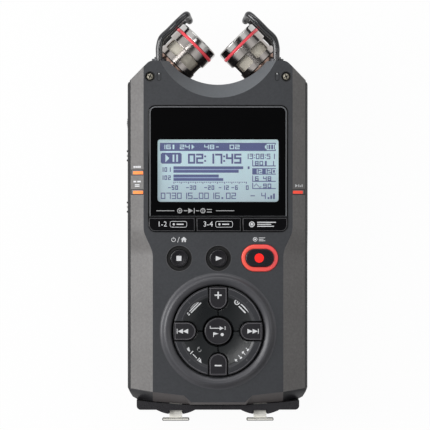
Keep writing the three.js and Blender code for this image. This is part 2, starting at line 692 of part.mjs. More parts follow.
function rearShell() {
  const section = [
    [HOUSING.halfWidth, HOUSING.splitHeight],
    [HOUSING.halfWidth, BACK.sideHeight],
    [fromSide(BACK.chamferInset), BACK.chamferHeight],
    [fromSide(BACK.edgeInset), 0],
  ];
  const profile = outline([...section, ...section.map(([x, z]) => [-x, z]).reverse()]);
  let shell = prismY(profile, HOUSING.tongueBottom - OVERRUN, HOUSING.deckRimTop);
  shell = shell.intersect(prism(housingOutline(), -OVERRUN, HOUSING.splitHeight + OVERRUN));
  shell = cut(shell, ...deckCuts(-OVERRUN, HOUSING.splitHeight + OVERRUN));
  shell = cut(shell, box(-cavityHalfWidth + HOUSING.wall, cavityHalfWidth - HOUSING.wall, CAVITY.bottom,
    CAVITY.top + HOUSING.wall, HOUSING.wall, HOUSING.splitHeight + OVERRUN));
  const bay = box(-bayHalfWidth - BAY.wall, bayHalfWidth + BAY.wall, BAY.bottom - BAY.wall, bayTop + BAY.wall,
    HOUSING.wall / 2, BAY.top - SEAM);
  const posts = [];
  for (const x of [-fromSide(REAR_SCREW.inset), fromSide(REAR_SCREW.inset)]) {
    for (const y of [REAR_SCREW.top, REAR_SCREW.bottom]) {
      posts.push(disc(x, y, POST_RADIUS, HOUSING.wall / 2, HOUSING.splitHeight));
    }
  }
  const boss = disc(0, BUSH.y, BUSH.boss, HOUSING.wall / 2, BUSH.length + BUSH.sunk + SEAM + HOUSING.wall);
  const coverSpan = bayHalfWidth + COVER.rim + SEAM;
  const coverFloor = COVER.thickness + COVER.floorGap;
  const apronSpan = coverSpan + BAY.apron;
  const apron = box(-apronSpan, apronSpan, BAY.bottom - COVER.rim - SEAM - BAY.apron,
    coverAxisY + coverAxisZ + SEAM + BAY.apron, HOUSING.wall / 2, coverFloor + BAY.apron);
  shell = join(shell, bay, apron, boss, ...posts);
  shell = cut(
    shell,
    box(-bayHalfWidth, bayHalfWidth, BAY.bottom, bayTop, -OVERRUN, BAY.top - BAY.roof - SEAM),
    box(-coverSpan, coverSpan, BAY.bottom - COVER.rim - SEAM, coverAxisY + coverAxisZ + SEAM, -OVERRUN,
      coverFloor),
    disc(0, BUSH.y, BUSH.radius + SEAM, -OVERRUN, BUSH.length + BUSH.sunk + SEAM),
    ...socketHoles(SEAM),
    ...sideCuts(),
  );
  for (const x of [-fromSide(REAR_SCREW.inset), fromSide(REAR_SCREW.inset)]) {
    for (const y of [REAR_SCREW.top, REAR_SCREW.bottom]) {
      shell = cut(
        shell,
        disc(x, y, REAR_SCREW.headRadius + SEAM, -OVERRUN, REAR_SCREW.recess, SMALL_STEPS),
        disc(x, y, REAR_SHANK.radius + SEAM, 0, HOUSING.splitHeight + OVERRUN, SMALL_STEPS),
      );
    }
  }
  return shell;
}

function addHousing() {
  part('front_shell', frontShell(), 'panel');
  part('rear_shell', rearShell(), 'panel');
  for (const [name, side] of [['front_screw_left', -1], ['front_screw_right', 1]]) {
    const head = HOUSING.depth - FRONT_SCREW.recess;
    part(name, turned([
      [0, head - FRONT_SHANK.length],
      [FRONT_SHANK.radius, head - FRONT_SHANK.length],
      [FRONT_SHANK.radius, head + SEAM],
      [FRONT_SCREW.headRadius, head + SEAM],
      [FRONT_SCREW.headRadius, head + FRONT_SCREW.head],
      [0, head + FRONT_SCREW.head],
    ], vector(side * fromSide(FRONT_SCREW.inset), FRONT_SCREW.y, 0), vector(0, 0, 1), SMALL_STEPS), 'silver');
  }
  let number = 0;
  for (const y of [REAR_SCREW.top, REAR_SCREW.bottom]) {
    for (const x of [-fromSide(REAR_SCREW.inset), fromSide(REAR_SCREW.inset)]) {
      number += 1;
      const head = REAR_SCREW.recess - SEAM;
      part(`rear_screw_${number}`, turned([
        [0, head - REAR_SCREW.head],
        [REAR_SCREW.headRadius, head - REAR_SCREW.head],
        [REAR_SCREW.headRadius, head],
        [REAR_SHANK.radius, head],
        [REAR_SHANK.radius, head + REAR_SHANK.length],
        [0, head + REAR_SHANK.length],
      ], vector(x, y, 0), vector(0, 0, 1), SMALL_STEPS), 'black');
    }
  }
}

// Display, keys and pad

function addDisplay() {
  const bottom = GLASS.bottom + MODE_KEY.gap;
  const inset = SEAM / 2;
  const right = GLASS.halfWidth - inset;
  const top = GLASS.top - inset;
  const radius = GLASS.radius - inset;
  const glassTop = HOUSING.depth + GLASS.proud;
  const corners = [[-right, bottom], [right, bottom], [right, top, radius], [-right, top, radius]];
  const glass = prism(outline(corners), glassTop - GLASS.thickness, glassTop, GLASS_STEPS);
  part('display_window', glass, 'glass');
  const moduleTop = glassTop - GLASS.thickness - SEAM;
  const half = displayHalfWidth + DISPLAY.frame;
  part('display_module', box(-half, half, DISPLAY.bottom - DISPLAY.frame, DISPLAY.top + DISPLAY.frame,
    moduleTop - DISPLAY.thickness, moduleTop), 'display');
  const boardTop = moduleTop - DISPLAY.thickness - SEAM;
  part('main_board', box(-BOARD.halfWidth, BOARD.halfWidth, BOARD.bottom, BOARD.top,
    boardTop - BOARD.thickness, boardTop), 'board');
}

function addModeKeys() {
  const names = ['mode_key_left', 'mode_key_middle', 'mode_key_right'];
  const bottom = MODE_KEY.bottom + MODE_KEY.gap;
  const top = GLASS.bottom - MODE_KEY.gap;
  const high = HOUSING.depth + MODE_KEY.proud;
  names.forEach((name, index) => {
    const left = MODE_KEY_DIVIDER_SHARES[index] * GLASS.halfWidth + MODE_KEY.gap;
    const right = MODE_KEY_DIVIDER_SHARES[index + 1] * GLASS.halfWidth - MODE_KEY.gap;
    const leftRadius = index === 0 ? GLASS.radius : 0;
    const rightRadius = index === names.length - 1 ? GLASS.radius : 0;
    const corners = [[left, bottom, leftRadius], [right, bottom, rightRadius], [right, top], [left, top]];
    part(name, prism(outline(corners), high - MODE_KEY.height, high, GLASS_STEPS), 'black');
  });
}

function addTransport() {
  for (const [name, [x, y]] of Object.entries(KEY_PLACES)) {
    const top = HOUSING.depth + KEY.proud;
    part(name, turned([
      [0, top - KEY.height],
      [KEY.radius + KEY_FLANGE.rim, top - KEY.height],
      [KEY.radius + KEY_FLANGE.rim, top - KEY.height + KEY_FLANGE.thickness],
      [KEY.radius, top - KEY.height + KEY_FLANGE.thickness],
      [KEY.radius, top - KEY.dome],
      [KEY.radius - KEY.dome, top],
      [0, top],
    ], vector(x, y, 0), vector(0, 0, 1)), 'black');
  }
  const top = HOUSING.depth + RECORD.proud;
  part('record_button', join(
    prism(recordShape(0, RECORD.length, RECORD.width), top - RECORD.height, top - KEY.dome, STADIUM_STEPS),
    prism(recordShape(-KEY.dome, RECORD.length, RECORD.width), top - RECORD.height, top, STADIUM_STEPS),
    prism(recordShape(KEY_FLANGE.rim, RECORD.length, RECORD.width), top - RECORD.height,
      top - RECORD.height + KEY_FLANGE.thickness, STADIUM_STEPS),
  ), 'black');
  const ringTop = HOUSING.depth + RECORD_RING.proud;
  part('record_ring', cut(
    prism(recordShape(0, RECORD_RING.length, RECORD_RING.width), ringTop - RECORD_RING.thickness, ringTop,
      STADIUM_STEPS),
    prism(recordShape(SLIDE_FIT, RECORD.length, RECORD.width), panelInside, ringTop + OVERRUN, STADIUM_STEPS),
  ), 'ring');
}

// The collar's section, from its foot over the crest to its bore, as shares of its width and of its rise
const COLLAR_SHARES = [[1, 0], [0.84, 0.1], [0.7, 0.6], [0.54, 1], [0.42, 1], [0.22, 0.6], [0, 0.35]];

// One arm of the pad's cross, pointing along +X before its turn
function armShape(grow) {
  const half = PAD.armWidth / 2 + grow;
  const shape = new THREE.Shape();
  shape.moveTo(PAD.collarRadius, -half);
  shape.lineTo(PAD.collarRadius, half);
  shape.lineTo(PAD.armInner + PAD.armWidth / 2, half);
  shape.absarc(PAD.armInner + PAD.armWidth / 2, 0, half, QUARTER, 3 * QUARTER, false);
  return shape;
}

function turnedArm(grow, angle, low, high) {
  const geometry = extrusion(armShape(grow), high - low, STADIUM_STEPS).rotateZ(angle);
  return solid(geometry.translate(0, PAD.y, low));
}

function addPad() {
  const up = vector(0, 0, 1);
  const centre = vector(0, PAD.y, 0);
  const collarTop = HOUSING.depth + PAD.collarProud;
  const inner = PAD.collarInner + SEAM / 2;
  const width = PAD.collarRadius - inner;
  const crown = COLLAR_SHARES.map(([across, rise]) => (
    [inner + across * width, HOUSING.depth + rise * PAD.collarProud]
  ));
  part('pad_collar', turned([
    [inner, collarTop - PAD.collarThickness],
    [PAD.collarRadius, collarTop - PAD.collarThickness],
    ...crown,
  ], centre, up, RING_STEPS), 'panel');
  const top = HOUSING.depth + PAD.keyProud;
  const low = top - PAD.keyHeight;
  part('pad_centre_key', turned([
    [0, low],
    [PAD.centreRadius, low],
    [PAD.centreRadius, top - KEY.dome],
    [PAD.centreRadius - KEY.dome, top],
    [0, top],
  ], centre, up), 'black');
  const field = turned([
    [PAD.cornerInner, low],
    [PAD.keyRadius, low],
    [PAD.keyRadius, top],
    [PAD.keyRadius - PAD.rimRise, top + PAD.rimRise],
    [PAD.rimInner + PAD.rimRise, top + PAD.rimRise],
    [PAD.rimInner, top],
    [PAD.cornerInner, top - KEY.dome],
  ], centre, up, FINE_STEPS);
  const bound = turned([[0, low], [PAD.keyRadius, low], [PAD.keyRadius, top + PAD.rimRise], [0, top]], centre,
    up, FINE_STEPS);
  const arms = { forward: 0, plus: 1, back: 2, minus: 3 };
  const halfGap = PAD.gap / 2;
  let corners = cut(
    field,
    box(-PAD.keyRadius, PAD.keyRadius, PAD.y - halfGap, PAD.y + halfGap, low - OVERRUN, top + OVERRUN),
    box(-halfGap, halfGap, PAD.y - PAD.keyRadius, PAD.y + PAD.keyRadius, low - OVERRUN, top + OVERRUN),
  );
  for (const [name, turn] of Object.entries(arms)) {
    const angle = turn * QUARTER;
    corners = cut(corners, turnedArm(PAD.gap, angle, low - OVERRUN, top + 2 * OVERRUN));
    part(`pad_${name}_key`, turnedArm(0, angle, low, top + PAD.rimRise).intersect(bound), 'black');
  }
  const span = PAD.keyRadius + OVERRUN;
  for (const [name, x, y] of [['1', 1, 1], ['2', -1, 1], ['3', -1, -1], ['4', 1, -1]]) {
    const quarter = box(Math.min(0, x * span), Math.max(0, x * span), PAD.y + Math.min(0, y * span),
      PAD.y + Math.max(0, y * span), low - OVERRUN, top + 2 * OVERRUN);
    part(`pad_corner_key_${name}`, corners.intersect(quarter), 'black');
  }
}

// Microphones

// Solids in the capsule's own frame: along +Y from where its axis crosses the swivel axis
function capsuleSolids() {
  const origin = vector(0, 0, 0);
  const inner = MIC.sleeveRadius - MIC.wall;
  const drum = inner - SLIDE_FIT;
  const sleeve = turned([
    [0, MIC.back],
    [MIC.backRadius, MIC.back],
    [MIC.backRadius, MIC.sleeveStart],
    [MIC.sleeveRadius, MIC.sleeveStart],
    [MIC.sleeveRadius, MIC.windowEnd],
    [MIC.bandRadius, MIC.windowEnd + SEAM],
    [MIC.bandRadius, MIC.bandEnd],
    [inner, MIC.bandEnd],
    [inner, MIC.sleeveStart + MIC.wall],
    [0, MIC.sleeveStart + MIC.wall],
  ], origin, alongY, FINE_STEPS);
  const windowHalf = (Math.PI / MIC.windows) * MIC.windowShare;
  const reach = MIC.sleeveRadius + OVERRUN;
  let slotted = sleeve;
  for (let count = 0; count < MIC.windows; count += 1) {
    const turn = ((count + MIC.windowTurnShare) * 2 * Math.PI) / MIC.windows;
    const halfWidth = MIC.sleeveRadius * Math.sin(windowHalf);
    const opening = prismY(slab(-halfWidth, halfWidth, inner / 2, reach), MIC.windowStart, MIC.windowEnd);
    slotted = cut(slotted, solid(geometryOf(opening).rotateY(turn)));
  }
  const ringStart = MIC.bandEnd + MIC.ringFit;
  const ringEnd = ringStart + MIC.ringWidth;
  const cap = turned([
    [0, MIC.bandEnd - MIC.ringWidth],
    [inner - SLIDE_FIT, MIC.bandEnd - MIC.ringWidth],
    [inner - SLIDE_FIT, ringEnd + MIC.ringFit],
    [MIC.bandRadius, ringEnd + MIC.ringFit],
    [MIC.bandRadius, MIC.face - MIC.capChamfer],
    [MIC.bandRadius - MIC.capChamfer, MIC.face],
    [MIC.bandRadius - MIC.faceWall, MIC.face],
    [MIC.bandRadius - MIC.faceWall, MIC.face - MIC.faceRecess],
    [0, MIC.face - MIC.faceRecess],
  ], origin, alongY, FINE_STEPS);
  return {
    sleeve: [slotted, 'gunmetal'],
    cap: [cap, 'nickel'],
    red_ring: [turned([
      [inner, ringStart],
      [MIC.ringRadius, ringStart],
      [MIC.ringRadius, ringEnd],
      [inner, ringEnd],
    ], origin, alongY, FINE_STEPS), 'ring'],
    mesh_drum: [turned([
      [0, MIC.sleeveStart + MIC.wall + SEAM],
      [drum, MIC.sleeveStart + MIC.wall + SEAM],
      [drum, MIC.bandEnd - MIC.ringWidth - SEAM],
      [0, MIC.bandEnd - MIC.ringWidth - SEAM],
    ], origin, alongY, FINE_STEPS), 'mesh'],
  };
}

// A place in the capsule's plane, by its distance along the capsule's axis and outwards from it
function besideCapsule(side, along, outward) {
  return [
    side * (micPivot - along * Math.sin(MIC.lean) + outward * Math.cos(MIC.lean)),
    MIC.crossing + along * Math.cos(MIC.lean) + outward * Math.sin(MIC.lean),
  ];
}

// The guard's centre line: up out of the yoke, along the capsule, over its face and back down the other leg
function guardPoints(side) {
  const bend = GUARD.offset / Math.tan(MIC.lean);
  const bendY = besideCapsule(side, bend, GUARD.offset)[1];
  const x = side * micPivot;
  const straightEnd = GUARD.reach - 3 * GUARD.radius;
  const leg = [
    [x, YOKE.top - YOKE.socket, GUARD.spread],
    [x, YOKE.crown + GUARD.radius, GUARD.spread],
    [x, bendY - 2 * GUARD.radius, GUARD.spread],
    [...besideCapsule(side, bend + GUARD.radius, GUARD.offset), GUARD.spread],
    [...besideCapsule(side, (bend + straightEnd) / 2, GUARD.offset), GUARD.spread],
    [...besideCapsule(side, straightEnd, GUARD.offset), GUARD.spread],
    [...besideCapsule(side, GUARD.reach - GUARD.radius / 4, GUARD.offset - GUARD.radius / 6),
      GUARD_TURN_SHARES[0] * GUARD.spread],
    [...besideCapsule(side, GUARD.reach - GUARD.dip / 2, GUARD.hook + GUARD.radius),
      GUARD_TURN_SHARES[1] * GUARD.spread],
  ];
  const tip = [...besideCapsule(side, GUARD.reach - GUARD.dip, GUARD.hook), 0];
  const near = leg.map(([px, py, pz]) => vector(px, py, MIC.height + pz));
  const far = leg.map(([px, py, pz]) => vector(px, py, MIC.height - pz)).reverse();
  return [...near, vector(tip[0], tip[1], MIC.height), ...far];
}

// The space round the capsule that its carrier keeps clear
function capsuleRoom(side) {
  const axis = vector(-side * Math.sin(MIC.lean), Math.cos(MIC.lean), 0);
  const origin = vector(side * micPivot, MIC.crossing, MIC.height);
  return turned([
    [0, MIC.back - SEAM],
    [MIC.backRadius + SEAM, MIC.back - SEAM],
    [MIC.backRadius + SEAM, MIC.sleeveStart - SEAM],
    [MIC.bandRadius + SEAM, MIC.sleeveStart - SEAM],
    [MIC.bandRadius + SEAM, MIC.face],
    [0, MIC.face],
  ], origin, axis, FINE_STEPS);
}

function yoke(side) {
  const x = side * micPivot;
  const reach = GUARD.spread + YOKE.rim;
  const layer = (inset, low, high) => {
    const half = YOKE.width / 2 - inset;
    const run = reach - inset;
    const shape = slab(x - half, x + half, MIC.height - run, MIC.height + run, half - WELD);
    return prismY(shape, low, high);
  };
  const body = join(layer(0, YOKE.bottom, YOKE.top), layer(YOKE.crownInset, YOKE.bottom, YOKE.crown));
  const sockets = [-1, 1].map((end) => turned([
    [0, YOKE.top - YOKE.socket - SEAM],
    [GUARD.radius + SEAM, YOKE.top - YOKE.socket - SEAM],
    [GUARD.radius + SEAM, YOKE.crown + OVERRUN],
    [0, YOKE.crown + OVERRUN],
  ], vector(x, 0, MIC.height + end * GUARD.spread), alongY, SMALL_STEPS));
  return cut(body, ...sockets);
}

function turret(side) {
  const pivot = vector(side * micPivot, 0, MIC.height);
  const seat = HOUSING.deckTop + SLIDE_FIT;
  const post = turned([
    [0, HOUSING.deckTop - MIC.spigotLength],
    [MIC.spigotRadius, HOUSING.deckTop - MIC.spigotLength],
    [MIC.spigotRadius, seat],
    [MIC.turretRadius, seat],
    [MIC.turretRadius, MIC.turretShoulder],
    [YOKE.width / 2, MIC.turretTop],
    [0, MIC.turretTop],
  ], pivot, alongY);
  const axis = vector(-side * Math.sin(MIC.lean), Math.cos(MIC.lean), 0);
  const arm = turned([[0, 0], [MIC.armRadius, 0], [MIC.armEndRadius, MIC.back - SEAM], [0, MIC.back - SEAM]],
    vector(side * micPivot, MIC.crossing, MIC.height), axis);
  return cut(join(post, yoke(side), arm), capsuleRoom(side));
}

function addMicrophones() {
  const solids = capsuleSolids();
  for (const [hand, side] of [['left', -1], ['right', 1]]) {
    part(`mic_turret_${hand}`, turret(side), 'gunmetal');
    part(`mic_guard_${hand}`, tube(guardPoints(side), GUARD.radius, GUARD.steps, GUARD.sides), 'guard');
    const capsule = new THREE.Group();
    capsule.position.set(side * micPivot, MIC.crossing, MIC.height);
    capsule.rotation.z = side * MIC.lean;
    for (const [piece, [shape, finish]] of Object.entries(solids)) {
      part(`mic_${piece}_${hand}`, shape, finish, capsule);
    }
    pieces.add(capsule);
  }
}

// Input sockets

function jackBlock() {
  const end = fromSide(BLOCK.inset);
  const facetX = fromSide(HOUSING.facetInset);
  const corners = [[-end, BLOCK.bottom, BLOCK.radius], [end, BLOCK.bottom, BLOCK.radius]];
  const top = HOUSING.tongueBottom - SEAM;
  const edge = HOUSING.baseTop - SEAM;
  const shape = outline([...corners, [end, edge], [facetX, HOUSING.facetBase - SEAM],
    [HOUSING.tongueHalfWidth, top], [-HOUSING.tongueHalfWidth, top], [-facetX, HOUSING.facetBase - SEAM],
    [-end, edge]]);
  const half = LIP.width / 2;
  const radius = (half * half + LIP.rise * LIP.rise) / (2 * LIP.rise);
  const lipLow = BLOCK.high - LIP.depth;
  let block = prism(shape, BLOCK.low, BLOCK.high, GLASS_STEPS);
  for (const side of [-1, 1]) {
    const x = side * SOCKET.spacing;
    const field = box(x - half, x + half, BLOCK.bottom - LIP.rise, BLOCK.bottom + OVERRUN, lipLow,
      BLOCK.high);
    const lip = disc(x, BLOCK.bottom - LIP.rise + radius, radius, lipLow, BLOCK.high, NOTCH.steps);
    block = join(block, lip.intersect(field));
  }
  const holes = [-1, 1].map((side) => turned([
    [0, HOUSING.facetBase],
    [SOCKET.radius + SEAM, HOUSING.facetBase],
    [SOCKET.radius + SEAM, BLOCK.bottom - LIP.rise - OVERRUN],
    [0, BLOCK.bottom - LIP.rise - OVERRUN],
  ], vector(side * SOCKET.spacing, 0, SOCKET.height), alongY, FINE_STEPS));
  const notchHalf = TAB.stem / 2 + SLIDE_FIT;
  const notches = [-1, 1].map((side) => {
    const x = side * SOCKET.spacing;
    return box(x - notchHalf, x + notchHalf, BLOCK.bottom - LIP.rise - OVERRUN, BLOCK.bottom - LIP.notch,
      TAB.height - TAB.thickness / 2 - SLIDE_FIT, BLOCK.high + OVERRUN);
  });
  return cut(block, ...holes, ...[-1, 1].map(tabSlot), ...notches);
}

function socketSolid(side) {
  const origin = vector(side * SOCKET.spacing, 0, SOCKET.height);
  const body = turned([
    [0, SOCKET.back],
    [SOCKET.radius, SOCKET.back],
    [SOCKET.radius, SOCKET.front],
    [SOCKET.grooveOuter, SOCKET.front],
    [SOCKET.grooveOuter, SOCKET.front + SOCKET.grooveDepth],
    [SOCKET.grooveInner, SOCKET.front + SOCKET.grooveDepth],
    [SOCKET.grooveInner, SOCKET.front + SEAM],
    [SOCKET.boreRadius, SOCKET.front + SEAM],
    [SOCKET.boreRadius, SOCKET.front + SOCKET.boreDepth],
    [0, SOCKET.front + SOCKET.boreDepth],
  ], origin, alongY, FINE_STEPS);
  const pins = [0, 1, 2].map((index) => {
    const angle = QUARTER + (index * 2 * Math.PI) / 3;
    const x = SOCKET.pinCircle * Math.cos(angle);
    const z = SOCKET.pinCircle * Math.sin(angle);
    const shape = circle(origin.x + x, origin.z + z, SOCKET.pinRadius);
    return prismY(shape, SOCKET.front - OVERRUN, SOCKET.front + SOCKET.pinDepth, SMALL_STEPS / 2);
  });
  return cut(body, ...pins);
}

function addSockets() {
  part('jack_block', jackBlock(), 'black');
  for (const [hand, side] of [['left', -1], ['right', 1]]) {
    part(`jack_socket_${hand}`, socketSolid(side), 'black');
    const x = side * SOCKET.spacing;
    const halfStem = TAB.stem / 2;
    const halfCap = TAB_CAP.width / 2;
    const low = TAB.height - TAB.thickness / 2;
    const stem = box(x - halfStem, x + halfStem, TAB.neck - WELD, TAB.root, low, low + TAB.thickness);
    const cap = prism(slab(x - halfCap, x + halfCap, TAB.neck - TAB_CAP.length, TAB.neck, TAB_CAP.length / 3),
      TAB.height - TAB_CAP.depth / 2, TAB.height + TAB_CAP.depth / 2);
    part(`latch_tab_${hand}`, join(stem, cap), 'silver');
  }
}

// Side controls

function wheelSolid(x, y, knurled) {
  const half = WHEEL.thickness / 2;
  const place = vector(x, y, WHEEL.height);
  let wheel = turned([
    [0, -half - WHEEL.hubLength],
    [WHEEL.hub, -half - WHEEL.hubLength],
    [WHEEL.hub, -half],
    [WHEEL.radius - SEAM, -half],
    [WHEEL.radius, -half + SEAM],
    [WHEEL.radius, half - SEAM],
    [WHEEL.radius - SEAM, half],
    [0, half],
  ], place, vector(0, 0, 1), FINE_STEPS);
  if (knurled) {
    const low = WHEEL.height - half - OVERRUN;
    for (let step = 0; step < DIAL.knurls; step += 1) {
      const angle = (step * 2 * Math.PI) / DIAL.knurls;
      const grooveX = x + WHEEL.radius * Math.cos(angle);
      const grooveY = y + WHEEL.radius * Math.sin(angle);
      const groove = circle(grooveX, grooveY, DIAL.knurlRadius);
      wheel = cut(wheel, prism(groove, low, low + WHEEL.thickness + 2 * OVERRUN));
    }
  }
  return wheel;
}

function slideSwitch(y) {
  const half = SWITCH.width / 2;
  const face = HOUSING.halfWidth + SWITCH.proud;
  const inside = cavityHalfWidth - SEAM;
  const knob = box(-face + SWITCH_RIBS.width, -inside, y - SWITCH.length / 2, y + SWITCH.length / 2,
    SWITCH.height - half, SWITCH.height + half);
  const foot = box(-inside, -inside + SWITCH.foot, y - SWITCH.length / 2 - SWITCH.footRim,
    y + SWITCH.length / 2 + SWITCH.footRim, SWITCH.height - half - SWITCH.footRim,
    SWITCH.height + half + SWITCH.footRim);
  const ribs = [];
  for (let index = 0; index < SWITCH_RIBS.count; index += 1) {
    const middle = y + (index - (SWITCH_RIBS.count - 1) / 2) * SWITCH_RIBS.pitch;
    ribs.push(box(-face, -face + 2 * SWITCH_RIBS.width, middle - SWITCH_RIBS.width / 2,
      middle + SWITCH_RIBS.width / 2, SWITCH.height - half, SWITCH.height + half));
  }
  return join(knob, foot, ...ribs);
}

function cardDoor() {
  const inner = HOUSING.halfWidth - DOOR.thickness;
  const radius = DOOR.thickness / 2;
  const shape = outline([[inner, DOOR.low, radius - WELD], [HOUSING.halfWidth, DOOR.low, radius - WELD],
    [HOUSING.halfWidth, DOOR.high], [inner, DOOR.high]]);
  return prismY(shape, DOOR.bottom, DOOR.top);
}

function addSideControls() {
  part('volume_wheel', wheelSolid(-wheelX, WHEEL.y, false), 'black');
  part('level_dial', wheelSolid(dialX, DIAL.y, true), 'black');
  for (const [name, y] of Object.entries(SWITCH_PLACES)) {
    part(name, slideSwitch(y), 'black');
  }
  part('card_door', cardDoor(), 'black');
  const face = HOUSING.halfWidth - PHONES.sunk;
  part('phones_jack', turned([
    [0, face - PHONES.length],
    [PHONES.radius, face - PHONES.length],
    [PHONES.radius, face],
    [PHONES.bore, face],
    [PHONES.bore, face - PHONES.boreDepth],
    [0, face - PHONES.boreDepth],
  ], vector(0, PHONES.y, PHONES.height), alongX), 'black');
}

// Power and the bush

function addPower() {
  const start = BAY.bottom + BAY.contact + CELL.fit;
  for (const [number, side] of [[1, -1], [2, 1]]) {
    part(`battery_cell_${number}`, turned([
      [0, start],
      [CELL.radius - SEAM, start],
      [CELL.radius, start + SEAM],
      [CELL.radius, start + CELL.length - SEAM],
      [CELL.radius - SEAM, start + CELL.length],
      [CELL.nub, start + CELL.length],
      [CELL.nub, start + CELL.length + CELL.nubLength],
      [0, start + CELL.length + CELL.nubLength],
    ], vector(side * (CELL.spacing / 2), 0, CELL.rest + CELL.radius), alongY), 'cell');
  }
  const half = bayHalfWidth - SEAM;
  part('battery_contacts', box(-half, half, BAY.bottom + SEAM / 2, BAY.bottom + SEAM / 2 + BAY.contact,
    CELL.rest + CELL.radius - BAY.contactRise / 2, CELL.rest + CELL.radius + BAY.contactRise / 2), 'silver');
  const span = bayHalfWidth + COVER.rim;
  const far = coverAxisY + coverAxisZ;
  const radius = coverAxisZ - WELD;
  const profile = outline([[BAY.bottom - COVER.rim, 0], [far, 0, radius], [far, COVER.thickness, radius],
    [BAY.bottom - COVER.rim, COVER.thickness]]);
  part('battery_cover', prismX(profile, -span, span, SMALL_STEPS / 2), 'panel');
  part('tripod_bush', turned([
    [BUSH.bore, BUSH.sunk],
    [BUSH.radius, BUSH.sunk],
    [BUSH.radius, BUSH.sunk + BUSH.length],
    [BUSH.bore, BUSH.sunk + BUSH.length],
  ], vector(0, BUSH.y, 0), vector(0, 0, 1), FINE_STEPS), 'brass');
}

addHousing();
addDisplay();
addModeKeys();
addTransport();
addPad();
for (const [name, y] of Object.entries(LAMP_HEIGHTS)) {
  const side = LAMP_SIDES[name];
  part(name, lampSolid(side, y, 0), side < 0 ? 'orange' : 'red');
}
addMicrophones();
addSockets();
addSideControls();
addPower();

recorder.updateMatrixWorld(true);
const extent = new THREE.Box3().setFromObject(pieces, true);
pieces.position.y = -(extent.min.y + extent.max.y) / 2;
recorder.updateMatrixWorld(true);

export default recorder;
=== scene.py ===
import math

import bmesh
import bpy
from mathutils import Matrix, Vector


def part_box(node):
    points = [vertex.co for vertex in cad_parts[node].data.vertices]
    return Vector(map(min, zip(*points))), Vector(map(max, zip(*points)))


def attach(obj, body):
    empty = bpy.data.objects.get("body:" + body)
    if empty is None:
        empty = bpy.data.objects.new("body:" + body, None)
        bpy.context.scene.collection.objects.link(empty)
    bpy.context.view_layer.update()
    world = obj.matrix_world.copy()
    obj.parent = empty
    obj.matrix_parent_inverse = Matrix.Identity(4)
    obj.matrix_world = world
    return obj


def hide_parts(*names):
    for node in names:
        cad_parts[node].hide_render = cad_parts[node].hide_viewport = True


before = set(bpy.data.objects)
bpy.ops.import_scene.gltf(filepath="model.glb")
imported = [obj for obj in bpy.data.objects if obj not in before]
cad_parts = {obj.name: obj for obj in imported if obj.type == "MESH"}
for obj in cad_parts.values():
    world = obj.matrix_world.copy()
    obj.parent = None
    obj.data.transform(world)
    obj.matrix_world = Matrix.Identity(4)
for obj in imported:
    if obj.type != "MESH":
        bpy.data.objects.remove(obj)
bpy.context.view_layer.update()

# Pieces are drawn in millimetres in the housing's own frame: X across the panel, Y towards the microphones,
# Z out of the panel. The middle of the pad's collar tells how far that frame is shifted along Y.
MM = 0.001
PANEL = 33.0
PROUD = 0.02  # how far a lining stands over the surface round it
INK = 0.03  # half the height of a printed mark
PAD_Y = -37.3
collar_low, collar_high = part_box("pad_collar")
TO_SCENE = Matrix.Translation((0, (collar_low.y + collar_high.y) / 2 - PAD_Y * MM, 0)) @ Matrix.Scale(MM, 4)
TO_HOUSING = TO_SCENE.inverted()

GLASS = {"half": 27.05, "top": 50.4, "bottom": 7.24, "corner": 2.75, "low": 31.5, "high": 33.3}
SCREEN = {"half": 23.5, "top": 37.15, "bottom": 12.9, "corner": 1.1, "ground": 31.2}
# For each key, where it begins and ends along X.
MODE_KEYS = {"mode_key_left": (-27.0, -8.88), "mode_key_middle": (-8.48, 8.99),
             "mode_key_right": (9.39, 27.0)}
MODE_KEY_TOP = 33.5
ROUND_KEYS = {"stop_button": (-15.1, -9.03), "play_button": (0.1, -9.03)}
KEY_TOP = 33.7
KEY_LOW = 28.6  # where the stop, play and record keys end inside
RECORD = (16.2, -8.9)
RECORD_TOP = 34.0
RECORD_RIM = (14.1, 10.3)
PAD_TOP = 34.0
PAD_RIM_TOP = 34.55
SHOULDER_Y, SCREW_X, MARK_X = 61.6, 26.45, 22.95
LAMP_X = 31.45
BAND_X = 28.95  # where the side bands begin to fall away
BAND_RUN, BAND_DROP = 5.05, 4.4
MIC_X, MIC_Y, MIC_Z = 22.9, 60.95, 17.0
SOCKET_X, SOCKET_Z = 16.4, 15.6
SIDE_X = 35.22  # just outside the housing's side
HANDS = (("left", -1), ("right", 1))


# Shapes

def drawn(corners, steps):
    """A flat outline at height 0 through corners (x, y) or (x, y, radius)."""
    mesh = bmesh.new()
    points = [Vector(corner[:2]) for corner in corners]
    rim = [mesh.verts.new((x, y, 0)) for x, y in points]
    mesh.faces.new(rim)
    runs = {}
    for index, corner in enumerate(corners):
        if len(corner) == 3 and corner[2]:
            before = (points[index - 1] - points[index]).normalized()
            after = (points[(index + 1) % len(points)] - points[index]).normalized()
            run = corner[2] / math.tan(before.angle(after) / 2)
            runs.setdefault(round(run, 4), []).append(rim[index])
    for run, verts in runs.items():
        bmesh.ops.bevel(mesh, geom=verts, offset=run, offset_type="OFFSET", affect="VERTICES",
                        segments=steps, profile=0.5, material=-1)
    bmesh.ops.remove_doubles(mesh, verts=mesh.verts, dist=0.002)
    return mesh


def oblong(left, bottom, right, top, radius=0.0):
    """The corners of a rectangle with its corners rounded."""
    radius = min(radius, (right - left) / 2, (top - bottom) / 2)
    return [(left, bottom, radius), (right, bottom, radius), (right, top, radius), (left, top, radius)]


